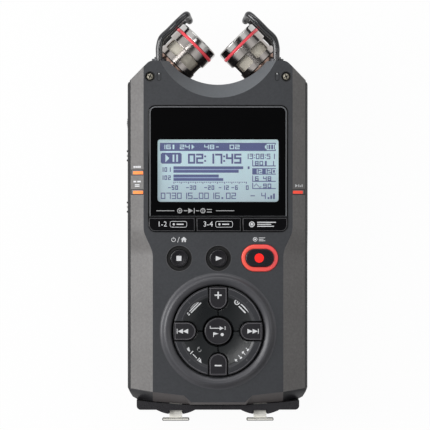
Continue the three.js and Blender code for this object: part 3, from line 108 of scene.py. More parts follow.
def soften(mesh, width, steps=2, over=40.0, where=None):
    """Rounds the edges that turn by more than so many degrees."""
    picked = []
    for edge in mesh.edges:
        if len(edge.link_faces) == 2 and math.degrees(edge.calc_face_angle(0)) > over:
            if where is None or where((edge.verts[0].co + edge.verts[1].co) / 2):
                picked.append(edge)
    bmesh.ops.bevel(mesh, geom=picked, offset=width, offset_type="OFFSET", affect="EDGES", segments=steps,
                    profile=0.5, material=-1, clamp_overlap=True)
    return mesh


def raised(mesh, low, high, rim, rim_steps):
    """A flat shape as a plate, with its upper rim rounded."""
    lifted = bmesh.ops.extrude_face_region(mesh, geom=mesh.faces[:])["geom"]
    top = [item for item in lifted if isinstance(item, bmesh.types.BMVert)]
    bmesh.ops.translate(mesh, verts=mesh.verts, vec=(0, 0, low))
    bmesh.ops.translate(mesh, verts=top, vec=(0, 0, high - low))
    bmesh.ops.remove_doubles(mesh, verts=mesh.verts, dist=0.0005)
    bmesh.ops.recalc_face_normals(mesh, faces=mesh.faces)
    if rim:
        soften(mesh, rim, rim_steps, 60, lambda middle: middle.z > high - 0.001)
    return mesh


def slab(corners, low, high, rim=0.0, rim_steps=2, steps=8):
    """A plate of an outline."""
    return raised(drawn(corners, steps), low, high, rim, rim_steps)


def hoop(outer, inner, low, high, rim=0.0, rim_steps=2, steps=8):
    """A plate between two outlines."""
    mesh = together(drawn(outer, steps), drawn(inner, steps))
    bmesh.ops.delete(mesh, geom=mesh.faces[:], context="FACES_ONLY")
    bmesh.ops.bridge_loops(mesh, edges=mesh.edges[:])
    return raised(mesh, low, high, rim, rim_steps)


def turned(profile, steps):
    """A solid of revolution about Z through points (radius, height)."""
    mesh = bmesh.new()
    points = [mesh.verts.new((radius, 0, height)) for radius, height in profile]
    pairs = list(zip(points, points[1:]))
    if profile[0][0] or profile[-1][0]:
        pairs.append((points[-1], points[0]))
    lines = [mesh.edges.new(pair) for pair in pairs]
    bmesh.ops.spin(mesh, geom=points + lines, cent=(0, 0, 0), axis=(0, 0, 1), angle=2 * math.pi,
                   steps=steps, use_merge=True)
    bmesh.ops.remove_doubles(mesh, verts=mesh.verts, dist=0.0005)
    bmesh.ops.recalc_face_normals(mesh, faces=mesh.faces)
    return mesh


def washer(inner, outer, low, high, steps=72):
    """A turned ring of a square section, or a disc where its inner radius is 0."""
    return turned([(inner, low), (outer, low), (outer, high), (inner, high)], steps)


def moved(mesh, x=0.0, y=0.0, z=0.0, turn=0.0, axis="Z"):
    """The same mesh turned about an axis through its origin, then shifted."""
    place = Matrix.Translation((x, y, z)) @ Matrix.Rotation(math.radians(turn), 4, axis)
    bmesh.ops.transform(mesh, matrix=place, verts=mesh.verts)
    return mesh


def together(*meshes):
    """Several meshes as one."""
    whole = meshes[0]
    for other in meshes[1:]:
        data = bpy.data.meshes.new("part")
        other.to_mesh(data)
        other.free()
        whole.from_mesh(data)
        bpy.data.meshes.remove(data)
    return whole


def carved(mesh, *tools, kind="DIFFERENCE"):
    """The mesh with the tools cut out of it, or with only what they share."""
    bodies = []
    for shape in (mesh, *tools):
        data = bpy.data.meshes.new("blank")
        shape.to_mesh(data)
        shape.free()
        body = bpy.data.objects.new("blank", data)
        bpy.context.collection.objects.link(body)
        bodies.append(body)
    for tool in bodies[1:]:
        cutter = bodies[0].modifiers.new("cutter", "BOOLEAN")
        cutter.operation = kind
        cutter.solver = "EXACT"
        cutter.object = tool
    bpy.context.view_layer.update()
    result = bmesh.new()
    result.from_object(bodies[0], bpy.context.evaluated_depsgraph_get())
    for body in bodies:
        data = body.data
        bpy.data.objects.remove(body)
        bpy.data.meshes.remove(data)
    bmesh.ops.remove_doubles(result, verts=result.verts, dist=0.01)
    bmesh.ops.dissolve_limit(result, angle_limit=math.radians(0.5), verts=result.verts, edges=result.edges)
    return result


def meshed(curve):
    """A curve or a text as a mesh. The curve itself goes."""
    holder = bpy.data.objects.new("curve", curve)
    bpy.context.collection.objects.link(holder)
    bpy.context.view_layer.update()
    data = bpy.data.meshes.new_from_object(holder.evaluated_get(bpy.context.evaluated_depsgraph_get()))
    mesh = bmesh.new()
    mesh.from_mesh(data)
    bpy.data.objects.remove(holder)
    bpy.data.curves.remove(curve)
    bpy.data.meshes.remove(data)
    return mesh


def solid_copy(node):
    """A merged copy of a solid, in the housing's frame."""
    mesh = bmesh.new()
    mesh.from_mesh(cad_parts[node].data)
    bmesh.ops.transform(mesh, matrix=TO_HOUSING, verts=mesh.verts)
    bmesh.ops.remove_doubles(mesh, verts=mesh.verts, dist=0.002)
    bmesh.ops.dissolve_limit(mesh, angle_limit=math.radians(0.6), verts=mesh.verts, edges=mesh.edges)
    for face in mesh.faces:
        face.material_index = 0
    return mesh


def eased(node, width):
    """A solid's copy with its sharp edges rounded."""
    return soften(solid_copy(node), width)


def finished(name, mesh, coats, stands_for=(), body="housing", crease=32.0, even=True):
    """Sets a mesh into the scene as a piece that rides on a body and may stand for nodes."""
    bmesh.ops.transform(mesh, matrix=TO_SCENE, verts=mesh.verts)
    for face in mesh.faces:
        face.smooth = True
    for edge in mesh.edges:
        edge.smooth = len(edge.link_faces) == 2 and math.degrees(edge.calc_face_angle(0)) < crease
    data = bpy.data.meshes.new(name)
    mesh.to_mesh(data)
    mesh.free()
    piece = bpy.data.objects.new(name, data)
    bpy.context.collection.objects.link(piece)
    for coat in coats if isinstance(coats, (list, tuple)) else [coats]:
        data.materials.append(coat.material)
    if even:
        shading = piece.modifiers.new("even shading", "WEIGHTED_NORMAL")
        shading.keep_sharp = True
    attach(piece, body)
    if stands_for:
        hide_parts(*stands_for)


def flat(name, mesh, coat, body="housing"):
    """A piece with plain faces, whose shading needs no evening out."""
    finished(name, mesh, coat, body=body, even=False)


# Finishes

def grey(level):
    """An even grey, already linear."""
    return (level, level, level, 1.0)


def tone(red, green, blue):
    """A colour as a screen numbers it, made linear."""
    def linear(value):
        share = value / 255
        return share / 12.92 if share <= 0.04045 else ((share + 0.055) / 1.055) ** 2.4
    return (linear(red), linear(green), linear(blue), 1.0)


def shade(colour, share):
    return tuple(min(1.0, channel * share) for channel in colour[:3]) + (1.0,)


class Wire:
    """A node's output, on which sums can be written."""

    def __init__(self, nodes, socket):
        self.nodes = nodes
        self.socket = socket

    def maths(self, operation, first, second):
        return self.nodes.node("ShaderNodeMath", {"operation": operation}, {0: first, 1: second})

    def __add__(self, other):
        return self.maths("ADD", self, other)

    __radd__ = __add__

    def __sub__(self, other):
        return self.maths("SUBTRACT", self, other)

    def __rsub__(self, other):
        return self.maths("SUBTRACT", other, self)

    def __mul__(self, other):
        return self.maths("MULTIPLY", self, other)

    __rmul__ = __mul__

    def __truediv__(self, other):
        return self.maths("DIVIDE", self, other)


class Nodes:
    """A tree of shader nodes, of a material or of the world."""

    def __init__(self, tree):
        self.tree = tree

    def node(self, kind, settings=None, inputs=None, output=0):
        made = self.tree.nodes.new(kind)
        for key, value in (settings or {}).items():
            if key == "stops":
                ramp = made.color_ramp
                while len(ramp.elements) < len(value):
                    ramp.elements.new(0.5)
                for element, (place, colour) in zip(ramp.elements, value):
                    element.position = place
                    element.color = colour
            else:
                setattr(made, key, value)
        for key, value in (inputs or {}).items():
            self.join(made.inputs[key], value)
        return Wire(self, made.outputs[output])

    def join(self, socket, value):
        if isinstance(value, Wire):
            self.tree.links.new(value.socket, socket)
        else:
            socket.default_value = value

    def axis(self, letter, kind="Object"):
        """One coordinate on the piece."""
        spot = self.node("ShaderNodeTexCoord", output=kind)
        return self.node("ShaderNodeSeparateXYZ", None, {0: spot}, letter)

    def mix(self, share, first, second):
        return self.node("ShaderNodeMix", {"data_type": "RGBA"}, {0: share, 6: first, 7: second}, 2)

    def ramp(self, value, stops):
        return self.node("ShaderNodeValToRGB", {"stops": stops}, {0: value})

    def ray(self, kind):
        """Whether the ray that meets the surface is of a kind."""
        return self.node("ShaderNodeLightPath", output=f"Is {kind} Ray")


class Finish(Nodes):
    """A material round one Principled shader."""

    def __init__(self, name, roughness=0.5, metallic=0.0, **constants):
        self.material = bpy.data.materials.new(name)
        self.material.use_nodes = True
        super().__init__(self.material.node_tree)
        self.shader = self.tree.nodes["Principled BSDF"]
        self.give("Roughness", roughness)
        self.give("Metallic", metallic)
        for socket, value in constants.items():
            self.give(socket.replace("_", " "), value)

    def give(self, socket, value):
        self.join(self.shader.inputs[socket], value)

    def glow(self, colour, strength):
        if strength:
            self.give("Emission Color", colour)
            self.give("Emission Strength", strength)

    def cloud(self, scale, detail, stretch=(1, 1, 1)):
        """Noise that may be drawn out along an axis."""
        spot = self.node("ShaderNodeTexCoord", output="Object")
        spot = self.node("ShaderNodeVectorMath", {"operation": "MULTIPLY"}, {0: spot, 1: stretch})
        return self.node("ShaderNodeTexNoise", None, {"Vector": spot, "Scale": scale, "Detail": detail})

    def relief(self, height, distance):
        """Bumps of so many millimetres."""
        bump = {"Height": height, "Distance": distance * MM, "Strength": 1.0}
        self.give("Normal", self.node("ShaderNodeBump", None, bump))


def moulded(name, rgb, roughness, grain=0.02, grain_scale=4200, spread=0.12, glow=0.0, **constants):
    """Moulded plastic with a spark-eroded grain and a slightly uneven tone."""
    colour = tone(*rgb)
    finish = Finish(name, **constants)
    finish.glow(colour, glow)
    broad = finish.cloud(70, 3)
    middle = finish.cloud(1100, 3)
    fine = finish.cloud(grain_scale, 2)
    finish.give("Base Color", finish.mix(broad * 0.25 + middle * 0.45 + fine * 0.3,
                                         shade(colour, 1 - 2 * spread), shade(colour, 1 + 2 * spread)))
    finish.give("Roughness", roughness + (broad - 0.5) * 0.1 + (fine - 0.5) * 0.08)
    finish.relief(middle * 0.5 + fine, grain)
    return finish


def key_mould(name, rgb, roughness):
    """The smoother plastic of the keys."""
    return moulded(name, rgb, roughness, grain=0.004, grain_scale=6000)


def ink(name, rgb, roughness=0.5, glow=0.0):
    return moulded(name, rgb, roughness, grain=0.003, glow=glow)


def rubbed(name, rgb, roughness, metallic, stretch=(1, 1, 1), glow=0.0, **constants):
    """Metal with fine lines from turning or brushing, and faint handling marks."""
    colour = tone(*rgb)
    finish = Finish(name, metallic=metallic, **constants)
    finish.glow(colour, glow)
    lines = finish.cloud(900, 3, stretch)
    marks = finish.cloud(130, 4)
    finish.give("Base Color", finish.mix(lines, shade(colour, 0.9), shade(colour, 1.1)))
    finish.give("Roughness", roughness + (lines - 0.5) * 0.1 + (marks - 0.5) * 0.12)
    finish.relief(lines, 0.004)
    return finish


def glossy(name, rgb, roughness, **constants):
    """Polished plastic or lacquer with the faintest smears."""
    colour = tone(*rgb)
    finish = Finish(name, **constants)
    smears = finish.cloud(60, 4, (1, 2.5, 1))
    finish.give("Base Color", finish.mix(smears, shade(colour, 0.92), shade(colour, 1.08)))
    finish.give("Roughness", roughness + (smears - 0.45) * 0.05)
    return finish


def lit(name, low_rgb, high_rgb, glow, roughness, axis, low, high):
    """A part with light behind it. Its tone runs along an axis, from low to high millimetres."""
    finish = Finish(name, roughness=roughness)
    run = (finish.axis(axis) / MM - low) / (high - low)
    speck = finish.cloud(1500, 2)
    colours = finish.ramp(run + (speck - 0.5) * 0.04, [(0.0, tone(*low_rgb)), (1.0, tone(*high_rgb))])
    finish.give("Base Color", colours)
    finish.glow(colours, glow)
    finish.give("Roughness", roughness + (speck - 0.5) * 0.06)
    return finish


SHIFT = TO_SCENE.translation.y / MM

panel = moulded("panel plastic", (49, 51, 55), 0.52, spread=0.34)
# The side bands are lighter than the panel: partly a paint of their own, partly a painted highlight of their
# sloping faces.
band = moulded("side band plastic", (107, 105, 104), 0.44, grain=0.016, spread=0.36)
# The shoulder bevel is the panel's plastic painted lighter: a painted highlight of its tilted face.
crescent_highlight = moulded("shoulder bevel plastic", (92, 96, 100), 0.45, grain=0.012)
flank = moulded("side plastic", (30, 30, 32), 0.76, Specular_IOR_Level=0.2)
# The lower facets are lighter and warmer than the panel: partly a tone of their own, partly a painted
# highlight.
facet = moulded("lower facet plastic", (92, 88, 88), 0.42)
# The lower corner facets are darker than the panel: painted shade of faces that turn down and outwards.
corner = moulded("lower corner plastic", (34, 34, 37), 0.5)
# The pad's ridge is lighter than the panel it rises from: a painted highlight along its slopes.
ridge = moulded("pad ridge plastic", (72, 72, 76), 0.38, grain=0.008)
back = moulded("back plastic", (36, 36, 38), 0.62, grain=0.03)
key_rubber = key_mould("key plastic", (25, 24, 28), 0.26)
record_plastic = key_mould("record key plastic", (24, 24, 30), 0.28)
pad_plastic = key_mould("pad key plastic", (22, 25, 27), 0.3)
pad_rim_plastic = key_mould("pad rim plastic", (46, 47, 51), 0.36)
arrow_plastic = key_mould("pad cross plastic", (35, 34, 38), 0.3)
# Nearly black, for the wells round the keys and the rims of the microphone marks: painted shade in the
# recesses.
well_shade = moulded("key well plastic", (6, 6, 7), 0.75, grain=0.004)
# Thin lighter lines along the keys' edges, in a dim and a brighter grey: painted highlights of the rounded
# edges.
dim_edge_highlight = moulded("key outline", (74, 74, 77), 0.45, grain=0.004)
edge_line = moulded("key edge line", (112, 110, 114), 0.4, grain=0.004)
glass_black = glossy("black glass", (9, 9, 10), 0.05)
mode_black = glossy("mode key plastic", (15, 15, 17), 0.12)
bezel_grey = glossy("bezel line", (104, 106, 109), 0.4)
lens = Finish("clear window", roughness=0.02, Transmission_Weight=1.0, IOR=1.3)
lens.give("Base Color", lens.mix(lens.cloud(40, 2), (0.97, 0.985, 1.0, 1.0), (1.0, 1.0, 1.0, 1.0)))
screen_light = lit("display ground", (158, 174, 180), (178, 200, 204), 0.56, 0.4, "Y",
                   SCREEN["bottom"] + SHIFT, SCREEN["top"] + SHIFT)
screen_dark = moulded("display dots", (78, 84, 122), 0.4, grain=0.0, glow=0.55)
screen_faint = moulded("display faint dots", (140, 158, 182), 0.4, grain=0.0, glow=0.5)
# The white print also glows faintly, though nothing lights it from inside: painted light that brightens it.
white_ink = ink("white print", (204, 205, 207), glow=0.16)
grey_ink = ink("grey print", (168, 169, 170))
dim_ink = ink("dim print", (92, 92, 95))
# The red print glows, though nothing lights it from inside: painted light that keeps the dot bright.
red_ink = ink("red print", (246, 22, 14), 0.4, 0.5)
amber_light = lit("amber lamp", (250, 138, 66), (250, 122, 48), 0.42, 0.3, "X", -33.65, -29.25)
red_light = lit("red lamp", (250, 82, 62), (244, 70, 54), 0.42, 0.3, "X", 29.25, 33.65)
record_red = lit("record rim", (228, 86, 72), (220, 76, 78), 0.34, 0.3, "X", 9.15, 23.25)
# Not a lamp: a reddish glowing strip round the record ring, painted red light spilling from the ring onto the
# panel.
painted_red_spill = lit("record glow", (150, 52, 44), (140, 46, 48), 0.3, 0.6, "X", 8.8, 23.6)
gunmetal = rubbed("gunmetal", (176, 170, 166), 0.2, 1.0)
bronze = rubbed("bronze", (158, 132, 120), 0.24, 1.0)
carrier_metal = rubbed("carrier metal", (62, 63, 67), 0.42, 0.3)
nickel = rubbed("nickel", (198, 196, 194), 0.13, 1.0)
# The red ring glows faintly, though it holds no lamp: painted light that keeps it evenly bright.
red_metal = rubbed("red anodised metal", (222, 74, 84), 0.4, 0.15, glow=0.25)
guard_black = glossy("guard lacquer", (34, 35, 38), 0.2, Coat_Weight=0.4, Coat_Roughness=0.08)
latch_silver = rubbed("latch metal", (252, 248, 238), 0.4, 0.0, (6, 1, 1))
steel = rubbed("screw steel", (168, 163, 148), 0.42, 0.3)
# A dark line round the latch caps' top edges: painted shade of their rims.
tab_rim_shade = rubbed("latch metal edge", (34, 30, 26), 0.6, 0.0, Specular_IOR_Level=0.2)
dark_steel = rubbed("black screw steel", (60, 60, 63), 0.35, 0.8)
contact = rubbed("contact metal", (190, 170, 120), 0.28, 1.0)
block_plastic = moulded("end block plastic", (45, 44, 47), 0.28, grain=0.004)
socket_plastic = moulded("socket plastic", (24, 24, 26), 0.4, grain=0.006)
# Black lining for screw recesses, slots, gaps and small holes: painted shade where the light does not reach.
hole_shade = moulded("hole black", (8, 8, 9), 0.7, grain=0.004)
brass = rubbed("brass", (196, 164, 92), 0.28, 1.0)
cell_wrap = glossy("cell wrap", (58, 62, 68), 0.3)
cell_band = glossy("cell band", (176, 178, 180), 0.3)
board_green = moulded("circuit board", (30, 88, 56), 0.4, grain=0.01)


# Casing

def front_casing():
    mesh = solid_copy("front_shell")
    soften(mesh, 0.95, 1, 30, lambda middle: (
        middle.z > PANEL - 0.01 and middle.y < -63 and abs(middle.x) < 12.5))
    # Faces take the panel's plastic in lighter or darker copies by the way they face: the shoulder bevel
    # painted lighter as a highlight, the lower facets and side bands lighter partly as a painted highlight,
    # and the lower corners darker as painted shade.
    coats = [panel, band, crescent_highlight, flank, facet, corner]
    for face in mesh.faces:
        middle = face.calc_center_median()
        normal = face.normal
        if normal.z > 0.985:
            coat = panel
        elif middle.y > 50 and abs(middle.x) < 22.9 and 0.2 < normal.z < 0.97 and middle.z > 27:
            coat = crescent_highlight
        elif middle.y < -59.4 and 0.3 < normal.z < 0.97 and normal.y < -0.2:
            coat = facet if abs(middle.x) < 25.4 else corner
        elif abs(middle.x) > 24 and 0.3 < normal.z < 0.99 and middle.z > 19:
            coat = band
        else:
            coat = flank
        face.material_index = coats.index(coat)

    def outer(middle):
        on_panel_edge = middle.z > PANEL - 0.01 and (abs(middle.x) > 24.8 or middle.y > 53 or middle.y < -59)
        on_band = abs(middle.x) > 33.5 and middle.z > 19.5
        on_shoulder = middle.y > 57 and middle.z > 26.6
        return (on_panel_edge or on_band or on_shoulder) and (
            math.dist(middle[:2], (0, PAD_Y)) > 23 and not in_front_holes(middle))
    soften(mesh, 0.28, 3, 14, outer)
    finished("front_casing", mesh, coats, ["front_shell"], crease=40)


def in_front_holes(middle):
    """Whether an edge belongs to the rim of a hole for a screw, a mark or a lamp."""
    screws = [(side * SCREW_X, SHOULDER_Y, 2.2) for _, side in HANDS]
    marks = [(side * MARK_X, SHOULDER_Y, 2.0) for _, side in HANDS]
    lamps = [(-LAMP_X, 24.35, 3.6), (-LAMP_X, 16.75, 3.6), (LAMP_X, 16.8, 3.6)]
    return any(math.dist(middle[:2], (x, y)) < reach for x, y, reach in screws + marks + lamps)


def rear_casing():
    mesh = solid_copy("rear_shell")
    soften(mesh, 0.3, 2, 20, lambda middle: abs(middle.x) > 30.5 and middle.z < 9)
    finished("rear_casing", mesh, [back], ["rear_shell"], crease=40)


def seat_ring(x, y, outer, inner, floor):
    """A turned insert that lines a round recess in the panel."""
    ring = turned([(outer + 0.12, PANEL - 0.2), (outer + 0.12, PANEL + PROUD), (outer, PANEL + PROUD),
                   (outer - 0.15, PANEL - 0.1), (outer - 0.15, floor), (inner, floor), (inner, floor - 2.2),
                   (inner + 0.12, floor - 2.2), (inner + 0.12, floor - 0.2), (outer, floor - 0.2)], 64)
    return moved(ring, x, y)


def front_screws():
    for hand, side in HANDS:
        x, y = side * SCREW_X, SHOULDER_Y
        # The screw's recess is lined black: painted shade.
        cup = turned([(2.05, PANEL - 0.3), (2.05, PANEL + PROUD), (1.95, PANEL + 0.03), (1.72, PANEL - 0.16),
                      (1.62, PANEL - 1.1), (0, PANEL - 1.1), (0, PANEL - 1.15), (2.0, PANEL - 1.15)], 48)
        finished(f"front_screw_cup_{hand}", moved(cup, x, y), hole_shade)
        head = turned([(0, 31.85), (1.15, 31.85), (1.27, 32.1), (1.22, 32.35), (0.9, 32.6), (0.45, 32.7),
                       (0, 32.72)], 48)
        slots = [moved(slab(oblong(-0.86, -0.2, 0.86, 0.2), 32.0, 33), turn=22 * side + turn)
                 for turn in (0, 90)]
        head = soften(carved(head, *slots), 0.04, 1)
        # Faces inside the cross slots take the black: painted shade in the slots.
        for face in head.faces:
            middle = face.calc_center_median()
            in_slot = middle.z < 32.1 or face.normal.z < 0.4
            face.material_index = int(math.hypot(middle.x, middle.y) < 0.9 and in_slot)
        finished(f"front_screw_head_{hand}", moved(head, x, y), [steel, hole_shade],
                 [f"front_screw_{hand}"])
        # The mark's recess is rimmed nearly black: painted shade in the recess.
        mark = hoop(oblong(-0.86, -1.7, 0.86, 1.7, 0.86), oblong(-0.66, -1.5, 0.66, 1.5, 0.66), PANEL - 0.3,
                    PANEL + PROUD)
        flat(f"microphone_mark_{hand}", moved(mark, side * MARK_X, y), well_shade)
        pool = slab(oblong(-0.7, -1.54, 0.7, 1.54, 0.7), PANEL - 0.45, PANEL - 0.06)
        finished(f"microphone_mark_floor_{hand}", moved(pool, side * MARK_X, y), panel)
        dot = turned([(0, PANEL - 0.2), (0.3, PANEL - 0.2), (0.3, PANEL + PROUD), (0.2, PANEL + 0.06),
                      (0, PANEL + 0.06)], 32)
        finished(f"microphone_mark_dot_{hand}", moved(dot, side * MARK_X, y + 1.1), grey_ink)


# Display

def display():
    def glass_outline(side=0.0, low=0.0):
        right, top, radius = GLASS["half"] - side, GLASS["top"] - side, GLASS["corner"] - side
        bottom = GLASS["bottom"] + low
        return [(-right, bottom), (right, bottom), (right, top, radius), (-right, top, radius)]
    plate = slab(glass_outline(), GLASS["low"], GLASS["high"], 0.22, 3)
    half = SCREEN["half"]
    opening = oblong(-half, SCREEN["bottom"], half, SCREEN["top"], SCREEN["corner"])
    plate = carved(plate, slab(opening, GLASS["low"] - 1, GLASS["high"] + 1))
    finished("display_glass", plate, glass_black, ["display_window"])
    clear = slab([(x * 0.9985, y, *rest) for x, y, *rest in opening], GLASS["low"], GLASS["high"] - 0.03)
    flat("display_lens", clear, lens)
    line = hoop(glass_outline(0.42, 0.084), glass_outline(0.82, 0.164), GLASS["high"] - 0.05,
                GLASS["high"] + PROUD)
    flat("display_bezel_line", line, bezel_grey)
    ground = slab(oblong(-half - 0.4, SCREEN["bottom"] - 0.4, half + 0.4, SCREEN["top"] + 0.4, 0.5),
                  SCREEN["ground"] - 0.1, SCREEN["ground"] + 0.06)
    flat("display_ground", ground, screen_light)


class DotField:
    """Which of the display's 128 by 64 dots are dark or faint."""

    columns, rows, pitch = 128, 64, 0.352

    def __init__(self):
        self.dark = set()
        self.faint = set()

    def fill(self, left, top, right, bottom, on=True, faint=False):
        """Sets or clears the dots of a box."""
        cells = {(x, y) for x in range(left, right) for y in range(top, bottom)}
        target = self.faint if faint else self.dark
        if on:
            target |= cells
        else:
            target -= cells

    def corners(self, left, top, right, bottom, on):
        """Sets or clears the four dots at the corners of a box."""
        for x in (left, right - 1):
            for y in (top, bottom - 1):
                self.fill(x, y, x + 1, y + 1, on)

    def numeral(self, sign, left, top, width, height, stroke, on):
        """A figure of seven strokes."""
        strokes = {"0": "abcdef", "1": "bc", "2": "abged", "3": "abgcd", "4": "fgbc", "5": "afgcd",
                   "6": "afgedc", "7": "abc", "8": "abcdefg", "9": "abcdfg", "-": "g"}
        right, bottom, middle = left + width, top + height, top + (height - stroke) // 2
        boxes = {
            "a": (left, top, right, top + stroke), "d": (left, bottom - stroke, right, bottom),
            "g": (left, middle, right, middle + stroke), "f": (left, top, left + stroke, middle + stroke),
            "b": (right - stroke, top, right, middle + stroke), "e": (left, middle, left + stroke, bottom),
            "c": (right - stroke, middle, right, bottom),
        }
        for name in strokes[sign]:
            self.fill(*boxes[name], on)

    def number(self, text, left, top, width, height, stroke=1, on=True):
        """Figures in a row, one dot apart."""
        for sign in text:
            if sign == ":":
                for dot in (top + height // 3 - 1, top + 2 * height // 3):
                    self.fill(left, dot, left + stroke, dot + stroke, on)
                left += stroke + 1
            else:
                self.numeral(sign, left, top, width, height, stroke, on)
                left += width + 1

    def clear_wedge(self, left, top, height):
        """Clears a triangle that points to the right."""
        for row in range(height):
            reach = min(row, height - 1 - row) + 1
            self.fill(left, top + row, left + reach, top + row + 1, False)


# What the display shows, in dots from its upper left corner. A box is left, top, right and bottom.
# A figure is its text, its left, its top, and the width and height of one sign, then perhaps its stroke.
PLAY_SIGN = (1, 11, 24, 23)
BATTERY = (117, 1, 128, 8)
DARK_GROUNDS = ((0, 0, 128, 9), PLAY_SIGN, (102, 28, 128, 35))
LIGHT_FIGURES = (("16", 1, 2, 5, 5), ("24", 22, 2, 5, 5), ("48", 49, 2, 5, 5), ("02", 77, 2, 5, 5),
                 ("12", 104, 29, 4, 5), ("120", 114, 29, 4, 5))
LIGHT_BOXES = ((14, 2, 16, 7), (62, 4, 65, 5), (117, 1, 128, 2), (117, 7, 128, 8), (117, 1, 118, 8),
               (127, 1, 128, 8), (116, 3, 117, 6), (119, 2, 120, 7), (122, 2, 123, 7), (125, 2, 126, 7),
               (14, 13, 16, 21), (18, 13, 20, 21))
DARK_FIGURES = (("02:17:45", 31, 12, 8, 11, 2), ("13:08:51", 94, 12, 4, 6), ("101", 1, 27, 3, 5),
                ("102", 1, 36, 3, 5), ("80", 105, 20, 4, 5), ("1", 122, 20, 4, 5), ("6", 105, 37, 4, 5),
                ("48", 114, 37, 4, 5), ("90", 114, 45, 4, 5), ("073015", 1, 55, 5, 7),
                ("0016", 43, 55, 5, 7), ("02", 73, 55, 5, 7), ("4", 112, 55, 5, 7))
DARK_BOXES = ((97, 26, 99, 29), (102, 19, 103, 26), (102, 25, 128, 26), (102, 36, 103, 43),
              (102, 42, 128, 43), (102, 44, 103, 51), (102, 50, 128, 51), (116, 20, 118, 25),
              (37, 61, 42, 62), (68, 60, 70, 62), (100, 58, 105, 59))


def display_dots():
    field = DotField()
    for box in DARK_GROUNDS:
        field.fill(*box)
    for text, *place in LIGHT_FIGURES:
        field.number(text, *place, on=False)
    for box in LIGHT_BOXES:
        field.fill(*box, on=False)
    field.clear_wedge(35, 2, 5)
    field.clear_wedge(6, 13, 8)
    field.corners(*BATTERY, on=True)
    field.corners(*PLAY_SIGN, on=False)
    for text, *place in DARK_FIGURES:
        field.number(text, *place)
    for box in DARK_BOXES:
        field.fill(*box)
    # Two level meters of two bars each, the scale under them, and a falling line.
    for top, upper, lower in ((26, 92, 87), (35, 65, 70)):
        field.fill(15, top, upper, top + 3)
        field.fill(15, top + 4, lower, top + 7)
        field.fill(15, top + 3, min(upper, lower), top + 4, faint=True)
    for step in range(41):
        field.fill(15 + 2 * step, 43, 16 + 2 * step, 45 if step % 4 == 0 else 44)
    for text, middle in (("-50", 14), ("-30", 34), ("-20", 54), ("-12", 70), ("-6", 82), ("0", 96)):
        width = 4 * len(text) - 1
        field.number(text, middle - width // 2, 47, 3, 5)
    for step, rise in enumerate((2, 1, 0, 1, 2, 3, 4, 3)):
        field.fill(104 + step, 45 + rise, 105 + step, 46 + rise)
    for step in range(3):
        field.fill(119 + 3 * step, 60 - 2 * step, 121 + 3 * step, 62)
    width, height = field.columns * field.pitch, field.rows * field.pitch
    left, top = -SCREEN["half"] + 0.9, SCREEN["top"] - 1.3
    for name, cells, coat in (("display_dark_dots", field.dark, screen_dark),
                              ("display_faint_dots", field.faint - field.dark, screen_faint)):
        mesh = bmesh.new()
        bmesh.ops.create_grid(mesh, x_segments=field.columns, y_segments=field.rows, size=0.5)
        unlit = []
        for face in mesh.faces:
            middle = face.calc_center_median()
            cell = (int((middle.x + 0.5) * field.columns), int((0.5 - middle.y) * field.rows))
            if cell not in cells:
                unlit.append(face)
        bmesh.ops.delete(mesh, geom=unlit, context="FACES")
        bmesh.ops.scale(mesh, vec=(width, height, 1), verts=mesh.verts)
        bmesh.ops.remove_doubles(mesh, verts=mesh.verts, dist=0.0001)
        moved(mesh, left + width / 2, top - height / 2, SCREEN["ground"] + 0.1)
        flat(name, mesh, coat)


def mode_outline(name, inset=0.0):
    """The outline of a mode key, round at the row's two lower corners."""
    left, right = MODE_KEYS[name]
    low_left = 2.6 - inset if name == "mode_key_left" else 0.0
    low_right = 2.6 - inset if name == "mode_key_right" else 0.0
    return [(left + inset, 1.3 + inset, low_left), (right - inset, 1.3 + inset, low_right),
            (right - inset, 6.84 - inset), (left + inset, 6.84 - inset)]


def mode_keys():
    for name in MODE_KEYS:
        cap = slab(mode_outline(name), MODE_KEY_TOP - 2.6, MODE_KEY_TOP, 0.3, 3)
        finished(name + "_cap", cap, mode_black, [name], name + "_body")
        # A lighter line round the key's top edge: a painted highlight of the edge.
        line = hoop(mode_outline(name, 0.3), mode_outline(name, 0.46), MODE_KEY_TOP - 0.05,
                    MODE_KEY_TOP + 0.015)
        flat(name + "_edge_line", line, dim_edge_highlight, name + "_body")


# Keys

def dished(radius, low, top, dip=0.12):
    """A round key with a rounded rim and a shallow hollow."""
    rim = 0.35
    profile = [(0, low), (radius, low), (radius, top - rim)]
    for step in range(1, 5):
        angle = math.radians(90 * step / 4)
        profile.append((radius - rim + rim * math.cos(angle), top - rim + rim * math.sin(angle)))
    inner = radius - rim
    for share in (0.85, 0.6, 0.3):
        profile.append((inner * share, top - dip * (1 - share ** 2)))
    profile.append((0, top - dip))
    return turned(profile, 64)


def round_keys():
    for name, (x, y) in ROUND_KEYS.items():
        # The well is lined nearly black: painted shade in the recess round the key.
        seat = seat_ring(x, y, 4.85, 3.62, PANEL - 0.48)
        finished(name + "_well", seat, well_shade)
        # A lighter ring round the well's rim: a painted highlight of its edge.
        line = washer(4.93, 5.14, PANEL - 0.1, PANEL + 0.03)
        finished(name + "_outline", moved(line, x, y), dim_edge_highlight)
        finished(name + "_cap", moved(dished(3.45, KEY_LOW, KEY_TOP), x, y), key_rubber, [name],
                 name + "_body")


def stadium(length, width, grow=0.0):
    """The record key's outline at a size."""
    x, y = RECORD
    half, rise = length / 2 + grow, width / 2 + grow
    return oblong(x - half, y - rise, x + half, y + rise, rise)


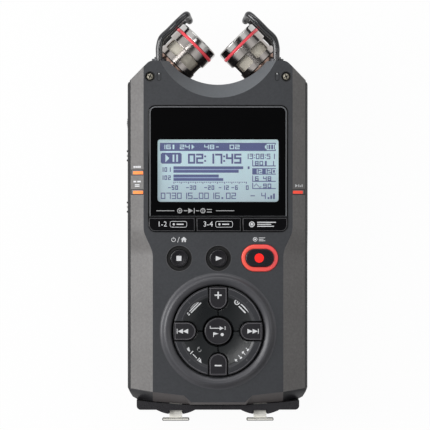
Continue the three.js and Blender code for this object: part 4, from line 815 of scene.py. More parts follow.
def record_key():
    cap = slab(stadium(11, 6.9), KEY_LOW, RECORD_TOP, 0.4, 4, 16)
    finished("record_button_cap", cap, record_plastic, ["record_button"], "record_button_body")
    rim = hoop(stadium(*RECORD_RIM), stadium(11.2, 7.1), 31.6, 33.3, 0.3, 3, 16)
    finished("record_light_ring", rim, record_red, ["record_ring"])
    # A thin strip just outside the ring glows red: painted spill light on the panel.
    spill_strip = hoop(stadium(*RECORD_RIM, 0.16), stadium(*RECORD_RIM, 0.04), 32.7, 33.02, steps=16)
    flat("record_painted_spill", spill_strip, painted_red_spill)


def hollow(radius):
    """How high the corner keys' hollow lies at a distance from the pad's middle."""
    return PAD_TOP - 0.85 + 0.85 * ((radius - 5.5) / 8) ** 2


def on_pad(mesh, turn=0.0):
    """Shifts a piece that was drawn about the origin to the pad's middle."""
    return moved(mesh, 0, PAD_Y, turn=turn)


def tongue(start, end, half):
    """The outline of a key's arm: round towards the pad's middle, square at its outer end."""
    return [(start, -half, half), (end, -half), (end, half), (start, half, half)]


def pad():
    crest = [(22.7, 32.9), (22.7, 33.01), (22.4, 33.03), (22.1, 33.12), (21.6, 33.5), (21.2, 34.0),
             (20.9, 34.32), (20.5, 34.52), (20.1, 34.58), (19.7, 34.5), (19.2, 34.28), (18.7, 33.98),
             (18.3, 33.68), (18.08, 33.45), (18.08, 31.6), (21.2, 31.6), (21.2, 32.9)]
    finished("pad_ridge", on_pad(turned(crest, 120)), ridge, ["pad_collar"], crease=50)
    low = PAD_TOP - 4.4
    keys_radius = 17.4
    line_span = (PAD_RIM_TOP - 0.05, PAD_RIM_TOP + 0.012)
    finished("pad_centre_cap", on_pad(dished(5.25, low, PAD_TOP, 0.1)), arrow_plastic,
             ["pad_centre_key"], "pad_centre_key_body")
    # A lighter ring round the centre key's edge: a painted highlight.
    flat("pad_centre_edge_line", on_pad(washer(4.84, 4.98, PAD_TOP - 0.2, PAD_TOP + 0.01)),
         dim_edge_highlight, "pad_centre_key_body")
    for name, turn in (("forward", 0), ("plus", 90), ("back", 180), ("minus", 270)):
        arm = slab(tongue(8.6, 18.6, 3.5), low, PAD_RIM_TOP, steps=12)
        round_bound = washer(0, keys_radius, low - 1, 36, 96)
        arm = soften(carved(arm, round_bound, kind="INTERSECT"), 0.4, 3, 60,
                     lambda middle: middle.z > PAD_RIM_TOP - 0.01)
        key = f"pad_{name}_key"
        finished(f"pad_{name}_cap", on_pad(arm, turn), arrow_plastic, [key], key + "_body")
        # A lighter line round the arm's top edge: a painted highlight.
        line = hoop(tongue(8.96, 16.72, 3.14), tongue(9.12, 16.56, 2.98), *line_span, steps=12)
        flat(f"pad_{name}_edge_line", on_pad(line, turn), edge_line, key + "_body")
    quarter = [(5.9, low), (keys_radius, low), (keys_radius, PAD_TOP + 0.3), (17.1, PAD_RIM_TOP),
               (14.7, PAD_RIM_TOP), (14.3, PAD_RIM_TOP - 0.1), (13.75, PAD_TOP + 0.02)]
    for radius in (13.2, 12, 10.8, 9.6, 8.4, 7.2, 6.2):
        quarter.append((radius, hollow(radius)))
    quarter.append((5.9, PAD_TOP - 1.1))
    for number, turn in enumerate((0, 90, 180, 270), 1):
        sector = turned(quarter, 96)
        tools = [slab(oblong(-20, -20, 20, 0.22), 20, 40), slab(oblong(-20, -20, 0.22, 20), 20, 40)]
        for side in (0, 90):
            tools.append(moved(slab(tongue(8.15, 19, 3.95), 20, 40, steps=12), turn=side))
        cap = soften(carved(sector, *tools), 0.16, 2, 55, lambda middle: middle.z > PAD_TOP - 1.2)
        for face in cap.faces:
            x, y, z = face.calc_center_median()
            face.material_index = int(math.hypot(x, y) > 14.0 and z > PAD_RIM_TOP - 0.4)
        bmesh.ops.triangulate(cap, faces=[face for face in cap.faces if len(face.verts) > 4])
        key = f"pad_corner_key_{number}"
        finished(f"pad_corner_cap_{number}", on_pad(cap, turn), [pad_plastic, pad_rim_plastic],
                 [key], key + "_body")
        # Lighter arcs along the rim's outer and inner edges: painted highlights.
        for name, radius, coat in (("outer", 16.9, edge_line), ("inner", 14.75, dim_edge_highlight)):
            line = washer(radius - 0.07, radius + 0.07, *line_span, 96)
            for way in ((1, 0, 0), (0, 1, 0)):
                bmesh.ops.bisect_plane(line, geom=line.verts[:] + line.edges[:] + line.faces[:],
                                       plane_co=(4.4, 4.4, 0), plane_no=way, clear_inner=True)
                bmesh.ops.edgeloop_fill(line, edges=[edge for edge in line.edges if edge.is_boundary])
            flat(f"pad_corner_{name}_line_{number}", on_pad(line, turn), coat, key + "_body")
    # A black disc under the pad's keys: painted shade seen through the gaps between them.
    finished("pad_floor", on_pad(washer(0, 17.9, 28.5, 28.8, 64)), hole_shade)


def lamps():
    for name, coat, slot in (("lamp_left_upper", amber_light, "amber"),
                             ("lamp_left_lower", amber_light, "amber"),
                             ("lamp_right", red_light, "red_lamp")):
        frame_body = eased(name, 0.1)
        middle_y = sum(vert.co.y for vert in frame_body.verts) / len(frame_body.verts)
        finished(name + "_frame", frame_body, band)
        lens_body = solid_copy(name)
        for vert in lens_body.verts:
            side = math.copysign(1, vert.co.x)
            x = side * (LAMP_X - 0.35) + (vert.co.x - side * LAMP_X) * 0.88
            vert.co.z += (abs(vert.co.x) - abs(x)) * BAND_DROP / BAND_RUN + 0.06
            vert.co.x = x
            vert.co.y = middle_y - 0.15 + (vert.co.y - middle_y) * 0.68
        finished(name + "_lens", soften(lens_body, 0.12), coat, [name])


# Prints

def bar(left, bottom, right, top):
    return slab(oblong(left, bottom, right, top), -INK, INK)


def wedge(x, y, length, height):
    """A triangle that points to the right, or to the left where its length is negative."""
    tips = [(x, y - height / 2), (x + length, y), (x, y + height / 2)]
    return slab(tips if length > 0 else tips[::-1], -INK, INK)


def spot(x, y, radius):
    """A round dot."""
    return moved(washer(0, radius, -INK, INK, 32), x, y)


def hoop_mark(x, y, outer, inner):
    return moved(washer(inner, outer, -INK, INK, 32), x, y)


def pill_mark(left, bottom, right, top, radius):
    """The outline of a rounded box."""
    line = 0.16
    return hoop(oblong(left, bottom, right, top, radius),
                oblong(left + line, bottom + line, right - line, top - line, radius - line), -INK, INK)


def figure(text, size, x=0.0):
    """Plain figures, made a mesh about their own middle."""
    letters = bpy.data.curves.new("figures", "FONT")
    letters.body = text
    letters.size = size
    letters.align_x = "CENTER"
    letters.align_y = "CENTER"
    letters.extrude = INK
    letters.resolution_u = 2
    return moved(meshed(letters), x)


def printed(name, paint, body, x, y, height, *marks, turn=0.0, slot="black"):
    """Marks drawn about 0, set on a surface."""
    flat(name, moved(together(*marks), x, y, height, turn), paint, body)


def power_mark(x, y):
    ring = carved(hoop_mark(x, y, 0.85, 0.63), slab(oblong(x - 0.28, y, x + 0.28, y + 1.2), -0.2, 0.2))
    return together(ring, bar(x - 0.1, y + 0.2, x + 0.1, y + 1.05))


def house_mark(x, y):
    roof = slab([(x - 1.2, y + 0.05), (x + 1.2, y + 0.05), (x, y + 1.1)], -INK, INK)
    walls = [bar(x - 0.8, y - 0.95, x - 0.22, y + 0.06), bar(x + 0.22, y - 0.95, x + 0.8, y + 0.06)]
    return together(roof, *walls, bar(x - 0.23, y - 0.3, x + 0.23, y + 0.06))


def bars(*places):
    """Several bars, each by its left, bottom, right and top."""
    return [bar(*place) for place in places]


def prints():
    printed("input_line_print", grey_ink, "housing", 0, 9.45, GLASS["high"], bar(-24.0, -0.13, -17.0, 0.13),
            bar(-0.8, -0.13, 6.3, 0.13), hoop_mark(-14.9, 0, 1.0, 0.66), spot(-14.9, 0, 0.34),
            bar(-13.3, -0.17, -11.9, 0.17), wedge(-11.6, 0, 1.8, 2.0), bar(-9.4, -1.0, -9.1, 1.0),
            bar(-8.6, -0.17, -7.3, 0.17), hoop_mark(-5.9, 0, 1.0, 0.66),
            *bars((-6.05, -0.55, -5.75, 0.55), (-4.4, 0.35, -2.4, 0.65), (-4.4, -0.65, -2.4, -0.35)),
            slot="window")
    for name, text, x, left, right in (("left", "1-2", -21.7, -18.7, -12.1),
                                       ("middle", "3-4", -3.9, -1.0, 5.7)):
        printed(f"mode_key_{name}_print", white_ink, f"mode_key_{name}_body", 0, 4.2, MODE_KEY_TOP,
                figure(text, 2.9, x), pill_mark(left, -1.2, right, 1.2, 0.7), spot(left + 1.5, 0, 0.42),
                bar(left + 2.6, -0.22, left + 5.3, 0.22))
    printed("mode_key_right_print", white_ink, "mode_key_right_body", 0, 4.2, MODE_KEY_TOP,
            hoop_mark(13.1, 0, 1.1, 0.78), spot(13.1, 0, 0.5),
            *bars((15.2, 0.6, 22.5, 0.95), (15.2, -0.17, 20.6, 0.17), (15.2, -0.95, 21.7, -0.6)))
    slash = moved(bar(-0.1, -1.15, 0.1, 1.15), -15.4, -2.15, turn=-20)
    printed("power_print", white_ink, "housing", 0, 0.35, PANEL, power_mark(-17.3, -2.15), slash,
            house_mark(-13.3, -2.1), slot="panel")
    printed("record_print", white_ink, "housing", 16.0, -1.65, PANEL, hoop_mark(-1.6, 0, 0.85, 0.62),
            spot(-1.6, 0, 0.36),
            *bars((-0.2, 0.45, 2.3, 0.68), (-0.2, -0.11, 1.6, 0.11), (-0.2, -0.68, 2.3, -0.45)), slot="panel")
    x, y = ROUND_KEYS["stop_button"]
    printed("stop_print", white_ink, "stop_button_body", x - 0.1, y, KEY_TOP - 0.09,
            bar(-0.97, -0.97, 0.97, 0.97))
    x, y = ROUND_KEYS["play_button"]
    printed("play_print", white_ink, "play_button_body", x, y, KEY_TOP - 0.09, wedge(-1.0, 0, 2.5, 1.95))
    printed("record_dot_print", red_ink, "record_button_body", RECORD[0] - 0.25, RECORD[1], RECORD_TOP,
            spot(0, 0, 1.78))
    dash = (-1.35, -0.27, 1.35, 0.27)
    for name, x, y, marks in (
            ("plus", 0, 14.0, bars(dash, (-0.27, 0.26, 0.27, 1.35), (-0.27, -1.35, 0.27, -0.26))),
            ("minus", 0, -13.3, bars(dash)),
            ("back", -13.8, 0, [bar(-2.25, -0.95, -1.95, 0.95), wedge(0.15, 0, -2.0, 1.9),
                                wedge(2.15, 0, -2.0, 1.9)]),
            ("forward", 13.5, 0, [wedge(-2.15, 0, 2.0, 1.9), wedge(-0.15, 0, 2.0, 1.9),
                                  bar(1.95, -0.95, 2.25, 0.95)])):
        printed(f"pad_{name}_print", white_ink, f"pad_{name}_key_body", x, PAD_Y + y, PAD_RIM_TOP, *marks)
    printed("pad_centre_print", white_ink, "pad_centre_key_body", 0, PAD_Y, PAD_TOP - 0.07,
            *bars((-2.9, 1.0, 0.6, 1.3), (-3.2, 1.0, -2.9, 2.0)), wedge(0.6, 1.15, 1.5, 1.5),
            *bars((2.6, 0.5, 2.85, 1.9), (-1.9, -2.2, -1.65, -0.4)), wedge(-1.66, -0.95, 1.9, 1.15),
            spot(1.6, -1.3, 0.62))
    # For each corner key, its print's place and turn about the pad's middle, and the marks.
    corner_marks = {
        1: (9.3, 9.3, -45, [hoop_mark(-2.3, 0, 0.9, 0.56),
                            *bars((-2.42, 0, -2.18, 0.5), (-2.3, -0.12, -1.9, 0.12), (-1.0, 0.3, 3.1, 0.72),
                                  (-1.0, -0.72, 2.1, -0.3))]),
        2: (-9.5, 9.3, 45, bars((-3.0, 0.46, -2.4, 0.84), (-3.0, -0.19, -2.4, 0.19),
                                (-3.0, -0.84, -2.4, -0.46), (-1.9, 0.46, 3.0, 0.84),
                                (-1.9, -0.19, 2.2, 0.19), (-1.9, -0.84, 2.7, -0.46))),
        3: (-9.3, -9.4, -45, [wedge(-3.2, 0, 1.4, 1.6), *bars((-1.4, -0.75, -1.1, 0.75),
                                                              (-0.6, -0.14, 1.2, 0.14),
                                                              (1.7, -0.75, 2.0, 0.75)),
                              wedge(2.2, 0, 1.2, 1.5)]),
        4: (9.3, -9.4, 45, bars((-2.6, -0.85, -2.4, 0.85), (-2.9, 0.1, -2.1, 0.5), (-0.9, -0.85, -0.7, 0.85),
                                (-1.2, -0.5, -0.4, -0.1), (0.8, -0.85, 1.0, 0.85), (0.5, 0.3, 1.3, 0.7),
                                (2.5, -0.85, 2.7, 0.85), (2.2, -0.3, 3.0, 0.1))),
    }
    for number, (x, y, turn, marks) in corner_marks.items():
        key_body = f"pad_corner_key_{number}_body"
        drawing = together(*marks)
        bmesh.ops.scale(drawing, vec=(1.2, 1.2, 1), verts=drawing.verts)
        drawing = moved(drawing, x, y, turn=turn)
        for vert in drawing.verts:
            vert.co.z += hollow(math.hypot(vert.co.x, vert.co.y)) + INK
        flat(f"pad_corner_print_{number}", on_pad(drawing), white_ink, key_body)
        away = 15.85 / math.hypot(x, y)
        printed(f"pad_corner_figure_{number}", dim_ink, key_body, x * away, PAD_Y + y * away, PAD_RIM_TOP,
                figure(str(number), 1.3), turn=turn)
    arrow = carved(hoop_mark(0, 0, 0.85, 0.65), slab(oblong(0, 0, 1.2, 1.2), -0.2, 0.2))
    printed("pad_loop_print", grey_ink, "pad_corner_key_3_body", -7.3, PAD_Y - 7.2,
            hollow(math.hypot(7.3, 7.2)) + 2 * INK, arrow, wedge(0.0, 0.75, -0.8, 0.9))
    slope = math.degrees(math.atan2(BAND_DROP, BAND_RUN))
    height = PANEL - (LAMP_X - BAND_X) * BAND_DROP / BAND_RUN
    for name, side, y, marks in (
            ("lamp_left_upper", -1, 26.5, [spot(x, 0, 0.42) for x in (-1.5, -0.5, 0.5, 1.5)]),
            ("lamp_left_lower", -1, 19.95, bars((-1.9, 0.55, -0.5, 1.15), (0.1, 0.55, 1.9, 1.15),
                                                (-1.2, -1.15, 1.2, -0.8), (-1.2, -0.55, 1.2, -0.2))),
            ("lamp_right", 1, 19.2, [wedge(-1.9, 0, 1.3, 1.3),
                                     *bars((-0.3, -0.5, 0.2, 0.5), (0.6, -0.5, 1.1, 0.1),
                                           (1.5, -0.5, 2.0, 0.5))])):
        marks = moved(together(*marks), turn=side * slope, axis="Y")
        printed(name + "_print", white_ink, "housing", side * LAMP_X, y, height, marks, slot="panel")


# Microphones

def on_capsule(mesh, side):
    """Lays a piece that was turned about Z on a capsule's axis."""
    place = (Matrix.Translation((side * MIC_X, MIC_Y, MIC_Z)) @ Matrix.Rotation(side * math.pi / 4, 4, "Z")
             @ Matrix.Rotation(-math.pi / 2, 4, "X"))
    bmesh.ops.transform(mesh, matrix=place, verts=mesh.verts)
    return mesh


def woven():
    """A plain weave of round wires, drawn on the drum's map."""
    finish = Finish("woven mesh", metallic=0.1)
    u = finish.axis("X", "UV")
    v = finish.axis("Y", "UV")
    around, along = 92, 20  # wires each way
    across = finish.node("ShaderNodeMath", {"operation": "SINE"}, {0: u * (math.pi * around)})
    up = finish.node("ShaderNodeMath", {"operation": "SINE"}, {0: v * (math.pi * along)})
    grid = finish.node("ShaderNodeCombineXYZ", None, {0: u * around, 1: v * along})
    over = finish.node("ShaderNodeTexChecker", None, {"Vector": grid, "Scale": 1.0}, "Fac")
    wire = over * (across * across) + (1 - over) * (up * up)
    # Each wire is painted lighter along its crown and darker towards its sides: painted highlight and shade
    # of its roundness.
    finish.give("Base Color", finish.ramp(wire, [(0.0, tone(158, 151, 138)), (0.4, tone(214, 207, 191)),
                                                  (1.0, tone(248, 243, 229))]))
    finish.give("Roughness", 0.55 - wire * 0.2)
    finish.relief(wire, 0.12)
    return finish


def wrapped(mesh, low, high):
    """Lays a map round a turned piece: U round it, V along it."""
    layer = mesh.loops.layers.uv.new("wrap")
    for face in mesh.faces:
        places = [spoke.vert.co for spoke in face.loops]
        turns = [math.atan2(place.y, place.x) / (2 * math.pi) % 1.0 for place in places]
        if max(turns) - min(turns) > 0.5:
            turns = [turn + 1 if turn < 0.5 else turn for turn in turns]
        for spoke, turn in zip(face.loops, turns):
            spoke[layer].uv = (turn, (spoke.vert.co.z - low) / (high - low))
    return mesh


def smooth_line(points):
    """Places along a smooth curve through all the points."""
    steps = 8
    knots = [points[0] * 2 - points[1], *points, points[-1] * 2 - points[-2]]
    path = []
    for first, second, third, fourth in zip(knots, knots[1:], knots[2:], knots[3:]):
        one = math.sqrt((second - first).length)
        two = one + math.sqrt((third - second).length)
        three = two + math.sqrt((fourth - third).length)
        for step in range(steps):
            reach = one + (two - one) * step / steps
            share = (reach - one) / (two - one)
            middle = second.lerp(third, share)
            near = first.lerp(second, reach / one).lerp(middle, reach / two)
            beyond = third.lerp(fourth, (reach - two) / (three - two))
            far = middle.lerp(beyond, (reach - one) / (three - one))
            path.append(near.lerp(far, share))
    return path + [points[-1]]


def guard_wire(side):
    """The wire runs from the yoke past the capsule and over its face, and back on the rear."""
    root = math.sqrt(0.5)

    def beside(along, outward, z):
        return (side * (MIC_X + (outward - along) * root), MIC_Y + (along + outward) * root, MIC_Z + z)

    def behind(point, shift_x, shift_y):
        x, y, z = point
        return (x - side * shift_x, y - shift_y, 2 * MIC_Z - z)
    yoke = [(side * MIC_X, y, MIC_Z + 7.2) for y in (67.3, 70.95, 73.24)]
    leg = [beside(11.95, 10.6, 7.2), beside(16.225, 10.6, 7.2), beside(21.85, 10.6, 7.2)]
    hook = [beside(25.4, 10.375, 5.6), beside(25.3, 9.35, 2.88)]
    inward = 0.95 * root  # how much nearer to the capsule the rear leg lies
    near = yoke + leg + hook
    far = [behind(point, 0, inward) for point in reversed(hook)]
    far += [behind(point, inward, inward) for point in reversed(leg)]
    far += [behind(point, 0, 0) for point in reversed(yoke)]
    path = smooth_line([Vector(point) for point in near + [beside(24.85, 8.0, 0)] + far])
    curve = bpy.data.curves.new("wire", "CURVE")
    curve.dimensions = "3D"
    spline = curve.splines.new("POLY")
    spline.points.add(len(path) - 1)
    for knot, point in zip(spline.points, path):
        knot.co = (*point, 1)
    curve.bevel_depth = 1.35
    curve.bevel_resolution = 6
    curve.use_fill_caps = True
    mesh = meshed(curve)
    bmesh.ops.remove_doubles(mesh, verts=mesh.verts, dist=0.0005)
    bmesh.ops.recalc_face_normals(mesh, faces=mesh.faces)
    return mesh


def microphones():
    """Each capsule is a stack of rings about its axis, at heights along it."""
    weave = woven()
    seat, bore, drum_radius, out = 7.6, 7.62, 7.3, 8.9
    drum_low, drum_high = 9.7, 17.2
    for hand, side in HANDS:
        body = f"microphone_{hand}"

        def stacked(name, mesh, coat, slot, *stands_for):
            finished(f"mic_{name}_{hand}", on_capsule(mesh, side), coat,
                     [f"mic_{node}_{hand}" for node in stands_for], body)
        stacked("neck", soften(washer(0, seat, 7, 8.5, 96), 0.2), bronze, "gunmetal")
        # A black ring between the neck and the window band: painted shade in the gap.
        stacked("neck_line", washer(0, 7.9, 8.45, 8.75, 96), hole_shade, "black")
        tube = washer(bore, 8.4, 8.7, 15.3, 120)
        windows = []
        for count in range(6):
            opening = slab(oblong(-3.42, -15.1, 3.42, -10.9, 0.75), 4, 10, steps=5)
            opening = moved(opening, turn=-90, axis="X")
            windows.append(moved(opening, turn=180 + (count + 0.44) * 60))
        stacked("window_band", soften(carved(tube, *windows), 0.12), gunmetal, "gunmetal", "sleeve")
        rim = turned([(bore, 15.12), (8.55, 15.12), (out, 15.4), (out, 18.6), (bore, 18.6)], 120)
        stacked("rim_band", soften(rim, 0.12, 2, 30), gunmetal, "gunmetal")
        red = washer(bore, 9.0, 18.75, 19.8, 120)
        stacked("colour_ring", soften(red, 0.14, 2, 30), red_metal, "red_ring", "red_ring")
        cap = turned([(0, 17.6), (drum_radius, 17.6), (drum_radius, 19.95), (out, 19.95), (out, 22.1),
                      (8.4, 22.6), (7.7, 22.6), (7.7, 22.1), (0, 22.1)], 120)
        stacked("face_cap", soften(cap, 0.12, 2, 30), nickel, "nickel", "cap")
        drum = washer(0, drum_radius, drum_low, drum_high, 96)
        stacked("woven_drum", wrapped(drum, drum_low, drum_high), weave, "mesh", "mesh_drum")
        finished(f"mic_guard_wire_{hand}", guard_wire(side), guard_black, [f"mic_guard_{hand}"],
                 body)
        finished(f"mic_carrier_{hand}", eased(f"mic_turret_{hand}", 0.2), [carrier_metal],
                 [f"mic_turret_{hand}"], body, crease=40)


# Input end

def on_end(mesh, x, z):
    """Lays a piece that was turned about Z along the length, with its top towards the input end."""
    return moved(moved(mesh, turn=90, axis="X"), x, 0, z)


def input_end():
    notches = [slab([(x - 2.8, -68.15), (x - 2.8, -75), (x + 2.8, -75), (x + 2.8, -68.15)], 26.4, 40)
               for x in (-SOCKET_X, SOCKET_X)]
    block = soften(solid_copy("jack_block"), 3.4, 8,
                   where=lambda middle: abs(middle.x) > 31.5 and (middle.z > 30.2 or middle.z < 3.1))
    block = soften(carved(block, *notches), 0.3, 3)
    for face in block.faces:
        face.material_index = int(face.calc_center_median().y < -68.2)
    finished("input_block", block, [block_plastic, socket_plastic], ["jack_block"], crease=40)
    pin_y, pin_radius = 67.3, 1.15
    for hand, side in HANDS:
        x = side * SOCKET_X
        latch = f"latch_{hand}_body"
        finished(f"latch_tab_plate_{hand}", eased(f"latch_tab_{hand}", 0.16), latch_silver,
                 [f"latch_tab_{hand}"], latch)
        # A dark line round the cap's top edge: painted shade of its rim.
        outline = hoop(oblong(x - 5.24, -72.29, x + 5.24, -71.21, 0.3),
                       oblong(x - 4.94, -72.01, x + 4.94, -71.49, 0.2), 29.0, 29.1)
        flat(f"latch_tab_outline_{hand}", outline, tab_rim_shade, latch)
        finished(f"input_socket_{hand}", eased(f"jack_socket_{hand}", 0.15), socket_plastic,
                 [f"jack_socket_{hand}"], crease=40)
        rims, holes = [], []
        for turn in (90, 210, 330):
            pin_x = x + 6.5 * math.cos(math.radians(turn))
            pin_z = SOCKET_Z + 6.5 * math.sin(math.radians(turn))
            rim = [(pin_radius, pin_y), (1.6, pin_y), (1.6, 67.72), (1.5, 67.78), (1.25, 67.78),
                   (pin_radius, 67.68)]
            rims.append(on_end(turned(rim, 32), pin_x, pin_z))
            holes.append(on_end(washer(0, pin_radius, pin_y, 67.62, 32), pin_x, pin_z))
        throat = [(3.35, 66.2), (3.95, 66.2), (3.95, 67.75), (3.8, 67.82), (3.6, 67.82), (3.35, 67.5)]
        finished(f"socket_contacts_{hand}", together(*rims), contact)
        # The pin holes are black discs: painted shade in the holes.
        finished(f"socket_contact_holes_{hand}", together(*holes), hole_shade)
        finished(f"socket_throat_{hand}", on_end(turned(throat, 64), x, SOCKET_Z), nickel)


# Sides and back

def knurled(node, x, y, radius, teeth):
    """A wheel's solid with fine ridges round it."""
    ring = []
    for count in range(teeth):
        for share, reach in ((0.0, radius), (0.35, radius), (0.5, radius - 0.28), (0.85, radius - 0.28)):
            angle = 2 * math.pi * (count + share) / teeth
            ring.append((x + reach * math.cos(angle), y + reach * math.sin(angle)))
    return carved(solid_copy(node), slab(ring, 12, 22), kind="INTERSECT")


def on_side(mesh, side, y, z=12.2, x=SIDE_X):
    """Sets a drawing on the left or right side, upright."""
    turn = Matrix(((0, 0, side, side * x), (side, 0, 0, y), (0, 1, 0, z), (0, 0, 0, 1)))
    bmesh.ops.transform(mesh, matrix=turn, verts=mesh.verts)
    return mesh


def side_controls():
    for name, body, x, y, radius in (("volume_wheel", "volume_body", -28.55, 43.95, 7.1),
                                     ("level_dial", "level_body", 27.95, 25.0, 7.04)):
        wheel = soften(knurled(name, x, y, radius, 60), 0.05, 1, 50)
        finished(name + "_rim", wheel, key_rubber, [name], body, crease=40)
    for name, y in (("hold_switch", 31.05), ("input_switch", 10.9)):
        grooves = [slab(oblong(-37, y + step - 0.16, -35.32, y + step + 0.16), 12, 23)
                   for step in (-0.8, 0, 0.8)]
        slider = soften(carved(solid_copy(name), *grooves), 0.06, 1, 50)
        finished(name + "_slider", slider, key_rubber, [name], name + "_body", crease=40)
        ticks = together(*bars((-2.6, -0.12, -1.6, 0.12), (1.6, -0.12, 2.6, 0.12)), spot(3.2, 0, 0.22))
        flat(name + "_marks", on_side(ticks, -1, y), white_ink)
    nail = slab(oblong(34.8, -27.2, 36, -22.6), 16.1, 17.5)
    door = soften(carved(solid_copy("card_door"), nail), 0.12)
    finished("card_door_flap", door, flank, ["card_door"], "card_door_body", crease=40)
    card = together(hoop([(-1.6, -1.2), (1.6, -1.2), (1.6, 0.7), (1.1, 1.2), (-1.6, 1.2)],
                         [(-1.4, -1.0), (1.4, -1.0), (1.4, 0.6), (1.02, 1.0), (-1.4, 1.0)], -0.02, 0.02),
                    *bars((-1.1, 0.2, -0.85, 0.8), (-0.6, 0.2, -0.35, 0.8), (-0.1, 0.2, 0.15, 0.8)))
    flat("card_mark", on_side(card, 1, -16, 17.0, SIDE_X + 0.015), white_ink, "card_door_body")
    finished("phones_socket", eased("phones_jack", 0.12), socket_plastic, ["phones_jack"],
             crease=40)
    ring = turned([(1.8, 34.2), (2.7, 34.2), (2.7, 35.05), (2.55, 35.12), (2.1, 35.12), (1.8, 34.85)], 48)
    ring = moved(moved(ring, turn=90, axis="Y"), 0, 43.9, 17.5)
    finished("phones_socket_ring", ring, nickel)
    bow = carved(hoop_mark(0, 0, 1.15, 0.9), bar(-2, -2, 2, 0))
    headset = together(bow, *bars((-1.3, -0.9, -0.75, 0.1), (0.75, -0.9, 1.3, 0.1)))
    level = together(*(bar(0.9 * step - 1.35, -0.9, 0.9 * step - 0.85, 0.45 * step - 0.5)
                       for step in range(4)))
    loud = together(bar(-1.3, -0.4, -0.7, 0.4), wedge(0.35, 0, -1.3, 1.7),
                    *bars((0.7, -0.5, 0.95, 0.5), (1.3, -0.8, 1.55, 0.8)))
    for name, drawing, side, y in (("phones", headset, 1, 43.9), ("level", level, 1, 25),
                                   ("volume", loud, -1, 43.95)):
        flat(name + "_mark", on_side(drawing, side, y), white_ink)


def back_pieces():
    grip = [slab(oblong(-6.5, y - 0.35, 6.5, y + 0.35, 0.35), -1, 0.35, steps=5) for y in range(-31, -21, 2)]
    recess = slab(oblong(-2.4, -19.4, 2.4, -14.2, 0.6), -1, 0.22, steps=4)
    cover = soften(carved(solid_copy("battery_cover"), *grip, recess), 0.1)
    finished("battery_cover_plate", cover, back, ["battery_cover"], "battery_cover_body",
             crease=40)
    arrow = slab([(-1.7, -16.6), (0, -18.8), (1.7, -16.6), (0.6, -16.6), (0.6, -14.8), (-0.6, -14.8),
                  (-0.6, -16.6)], 0.12, 0.3)
    flat("battery_cover_arrow", arrow, grey_ink, "battery_cover_body")
    for number, (x, y) in enumerate(((-27.75, 51), (27.75, 51), (-27.75, -55), (27.75, -55)), 1):
        slots = [moved(slab(oblong(-1.35, -0.3, 1.35, 0.3), -1, 1.3), x, y, turn=turn) for turn in (30, 120)]
        head = soften(carved(solid_copy(f"rear_screw_{number}"), *slots), 0.08)
        finished(f"rear_screw_{number}_head", head, dark_steel, [f"rear_screw_{number}"])
    finished("tripod_bush_body", eased("tripod_bush", 0.15), brass, ["tripod_bush"])
    thread = [(3.3, 0.5)]
    for turn in range(4):
        thread += [(3.3, 0.7 + 1.27 * turn), (3.0, 1.2 + 1.27 * turn), (3.3, 1.7 + 1.27 * turn)]
    finished("tripod_thread", moved(turned(thread, 64), 0, 35), brass)
    radius = 7.15
    band_low, band_high = 32, 42
    for number, side in ((1, -1), (2, 1)):
        shell = [(0, 0), (5.8, 0), (6.9, 0.25), (radius, 0.6), (radius, band_low), (radius, band_high),
                 (radius, 48.0), (6.7, 48.5), (2.8, 48.5), (2.8, 49.8), (2.6, 50), (0, 50)]
        cell = turned(shell, 64)
        for face in cell.faces:
            height = face.calc_center_median().z
            on_cap = height < 0.5 or height > 48.2
            face.material_index = 2 if on_cap else int(band_low < height < band_high)
        cell = moved(moved(cell, turn=-90 * side, axis="X"), 7.5 * side, -6.45 - 25 * side, 9.9)
        finished(f"battery_cell_{number}_wrap", cell, [cell_wrap, cell_band, latch_silver],
                 [f"battery_cell_{number}"])


def inside():
    """The held pieces keep their solids and only take a finish."""
    for name, coat in (("main_board", board_green), ("display_module", socket_plastic),
                       ("battery_contacts", contact)):
        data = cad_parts[name].data
        data.materials.clear()
        data.materials.append(coat.material)


front_casing()
rear_casing()
front_screws()
display()
display_dots()
mode_keys()
round_keys()
record_key()
pad()
lamps()
prints()
microphones()
input_end()
side_controls()
back_pieces()
inside()


# Floor, light and camera

def floor():
    mesh = bmesh.new()
    bmesh.ops.create_grid(mesh, x_segments=1, y_segments=1, size=3.0)
    bmesh.ops.translate(mesh, verts=mesh.verts, vec=(0, 0, -0.0003))
    data = bpy.data.meshes.new("floor")
    mesh.to_mesh(data)
    mesh.free()
    ground = bpy.data.objects.new("floor", data)
    bpy.context.collection.objects.link(ground)
    paper = Finish("floor paper", roughness=0.9)
    paper.give("Base Color", paper.mix(paper.cloud(3, 2), grey(0.86), grey(0.9)))
    white = paper.node("ShaderNodeEmission", None, {"Color": grey(1), "Strength": 1.0})
    share = (paper.ray("Camera") + paper.ray("Glossy") + paper.ray("Transmission")) * 0.96
    matt = Wire(paper, paper.shader.outputs[0])
    above = paper.node("ShaderNodeMixShader", None, {0: share, 1: matt, 2: white})
    from_below = paper.node("ShaderNodeNewGeometry", output="Backfacing")
    clear = paper.node("ShaderNodeBsdfTransparent")
    both = paper.node("ShaderNodeMixShader", None, {0: from_below, 1: above, 2: clear})
    paper.join(paper.tree.nodes["Material Output"].inputs[0], both)
    data.materials.append(paper.material)


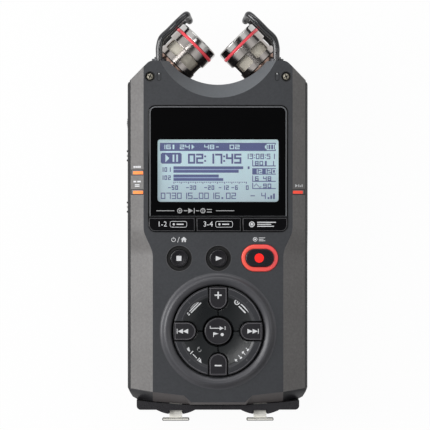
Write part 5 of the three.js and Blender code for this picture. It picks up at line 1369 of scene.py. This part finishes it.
def light(name, place, size, power):
    """A soft light that faces the middle of the object."""
    data = bpy.data.lights.new(name, "AREA")
    data.shape = "RECTANGLE"
    data.size, data.size_y = size
    data.energy = power
    lamp = bpy.data.objects.new(name, data)
    lamp.location = place
    lamp.rotation_euler = (Vector((0, 0, 0.02)) - Vector(place)).to_track_quat("-Z", "Y").to_euler()
    bpy.context.collection.objects.link(lamp)


def surroundings():
    """A dim room with bright and dark strips that metal and gloss mirror, and white behind the object."""
    world = bpy.data.worlds.new("room")
    world.use_nodes = True
    room = Nodes(world.node_tree)
    across = room.node("ShaderNodeMapRange", None, {"From Min": -1.0, "Value": room.axis("X", "Generated")})
    levels = [(0.0, 0.42), (0.13, 0.42), (0.16, 1.3), (0.26, 1.5), (0.34, 1.3), (0.37, 0.5), (0.42, 0.4),
              (0.45, 0.03), (0.57, 0.03), (0.6, 0.3), (0.63, 0.35), (0.66, 1.5), (0.77, 1.5), (0.8, 0.8),
              (0.86, 0.6), (1.0, 0.42)]
    strips = room.ramp(across, [(place, grey(level)) for place, level in levels])
    seen = room.mix(room.ray("Glossy"), grey(0.45), strips)
    sky = room.tree.nodes["Background"]
    room.join(sky.inputs["Color"], room.mix(room.ray("Camera"), seen, grey(1.63)))
    room.join(sky.inputs["Strength"], 0.6)
    bpy.context.scene.world = world


def camera():
    """From above the panel, where the photograph was taken."""
    distance, lean = 1.2, math.radians(0.8)
    span = 0.16797  # what the picture shows across, in metres
    aim = Vector((-1.1, 7.8 + SHIFT, 26)) * MM
    data = bpy.data.cameras.new("camera")
    data.sensor_width = 36
    data.lens = data.sensor_width * distance / span
    data.clip_end = 20
    viewer = bpy.data.objects.new("camera", data)
    viewer.location = aim + Vector((-math.sin(lean), 0, math.cos(lean))) * distance
    viewer.rotation_euler = (0, -lean, 0)
    bpy.context.collection.objects.link(viewer)
    bpy.context.scene.camera = viewer


floor()
light("key", (-0.64, 0.1, 0.44), (0.45, 0.5), 4.9)
light("right", (0.62, 0.05, 0.42), (0.2, 0.4), 0.42)
light("pad", (-0.19, 0.14, 0.8), (0.15, 0.15), 0.75)
light("top", (0.0, 0.66, 0.36), (0.5, 0.2), 1.3)
surroundings()
camera()
bpy.context.scene.view_settings.view_transform = "Standard"
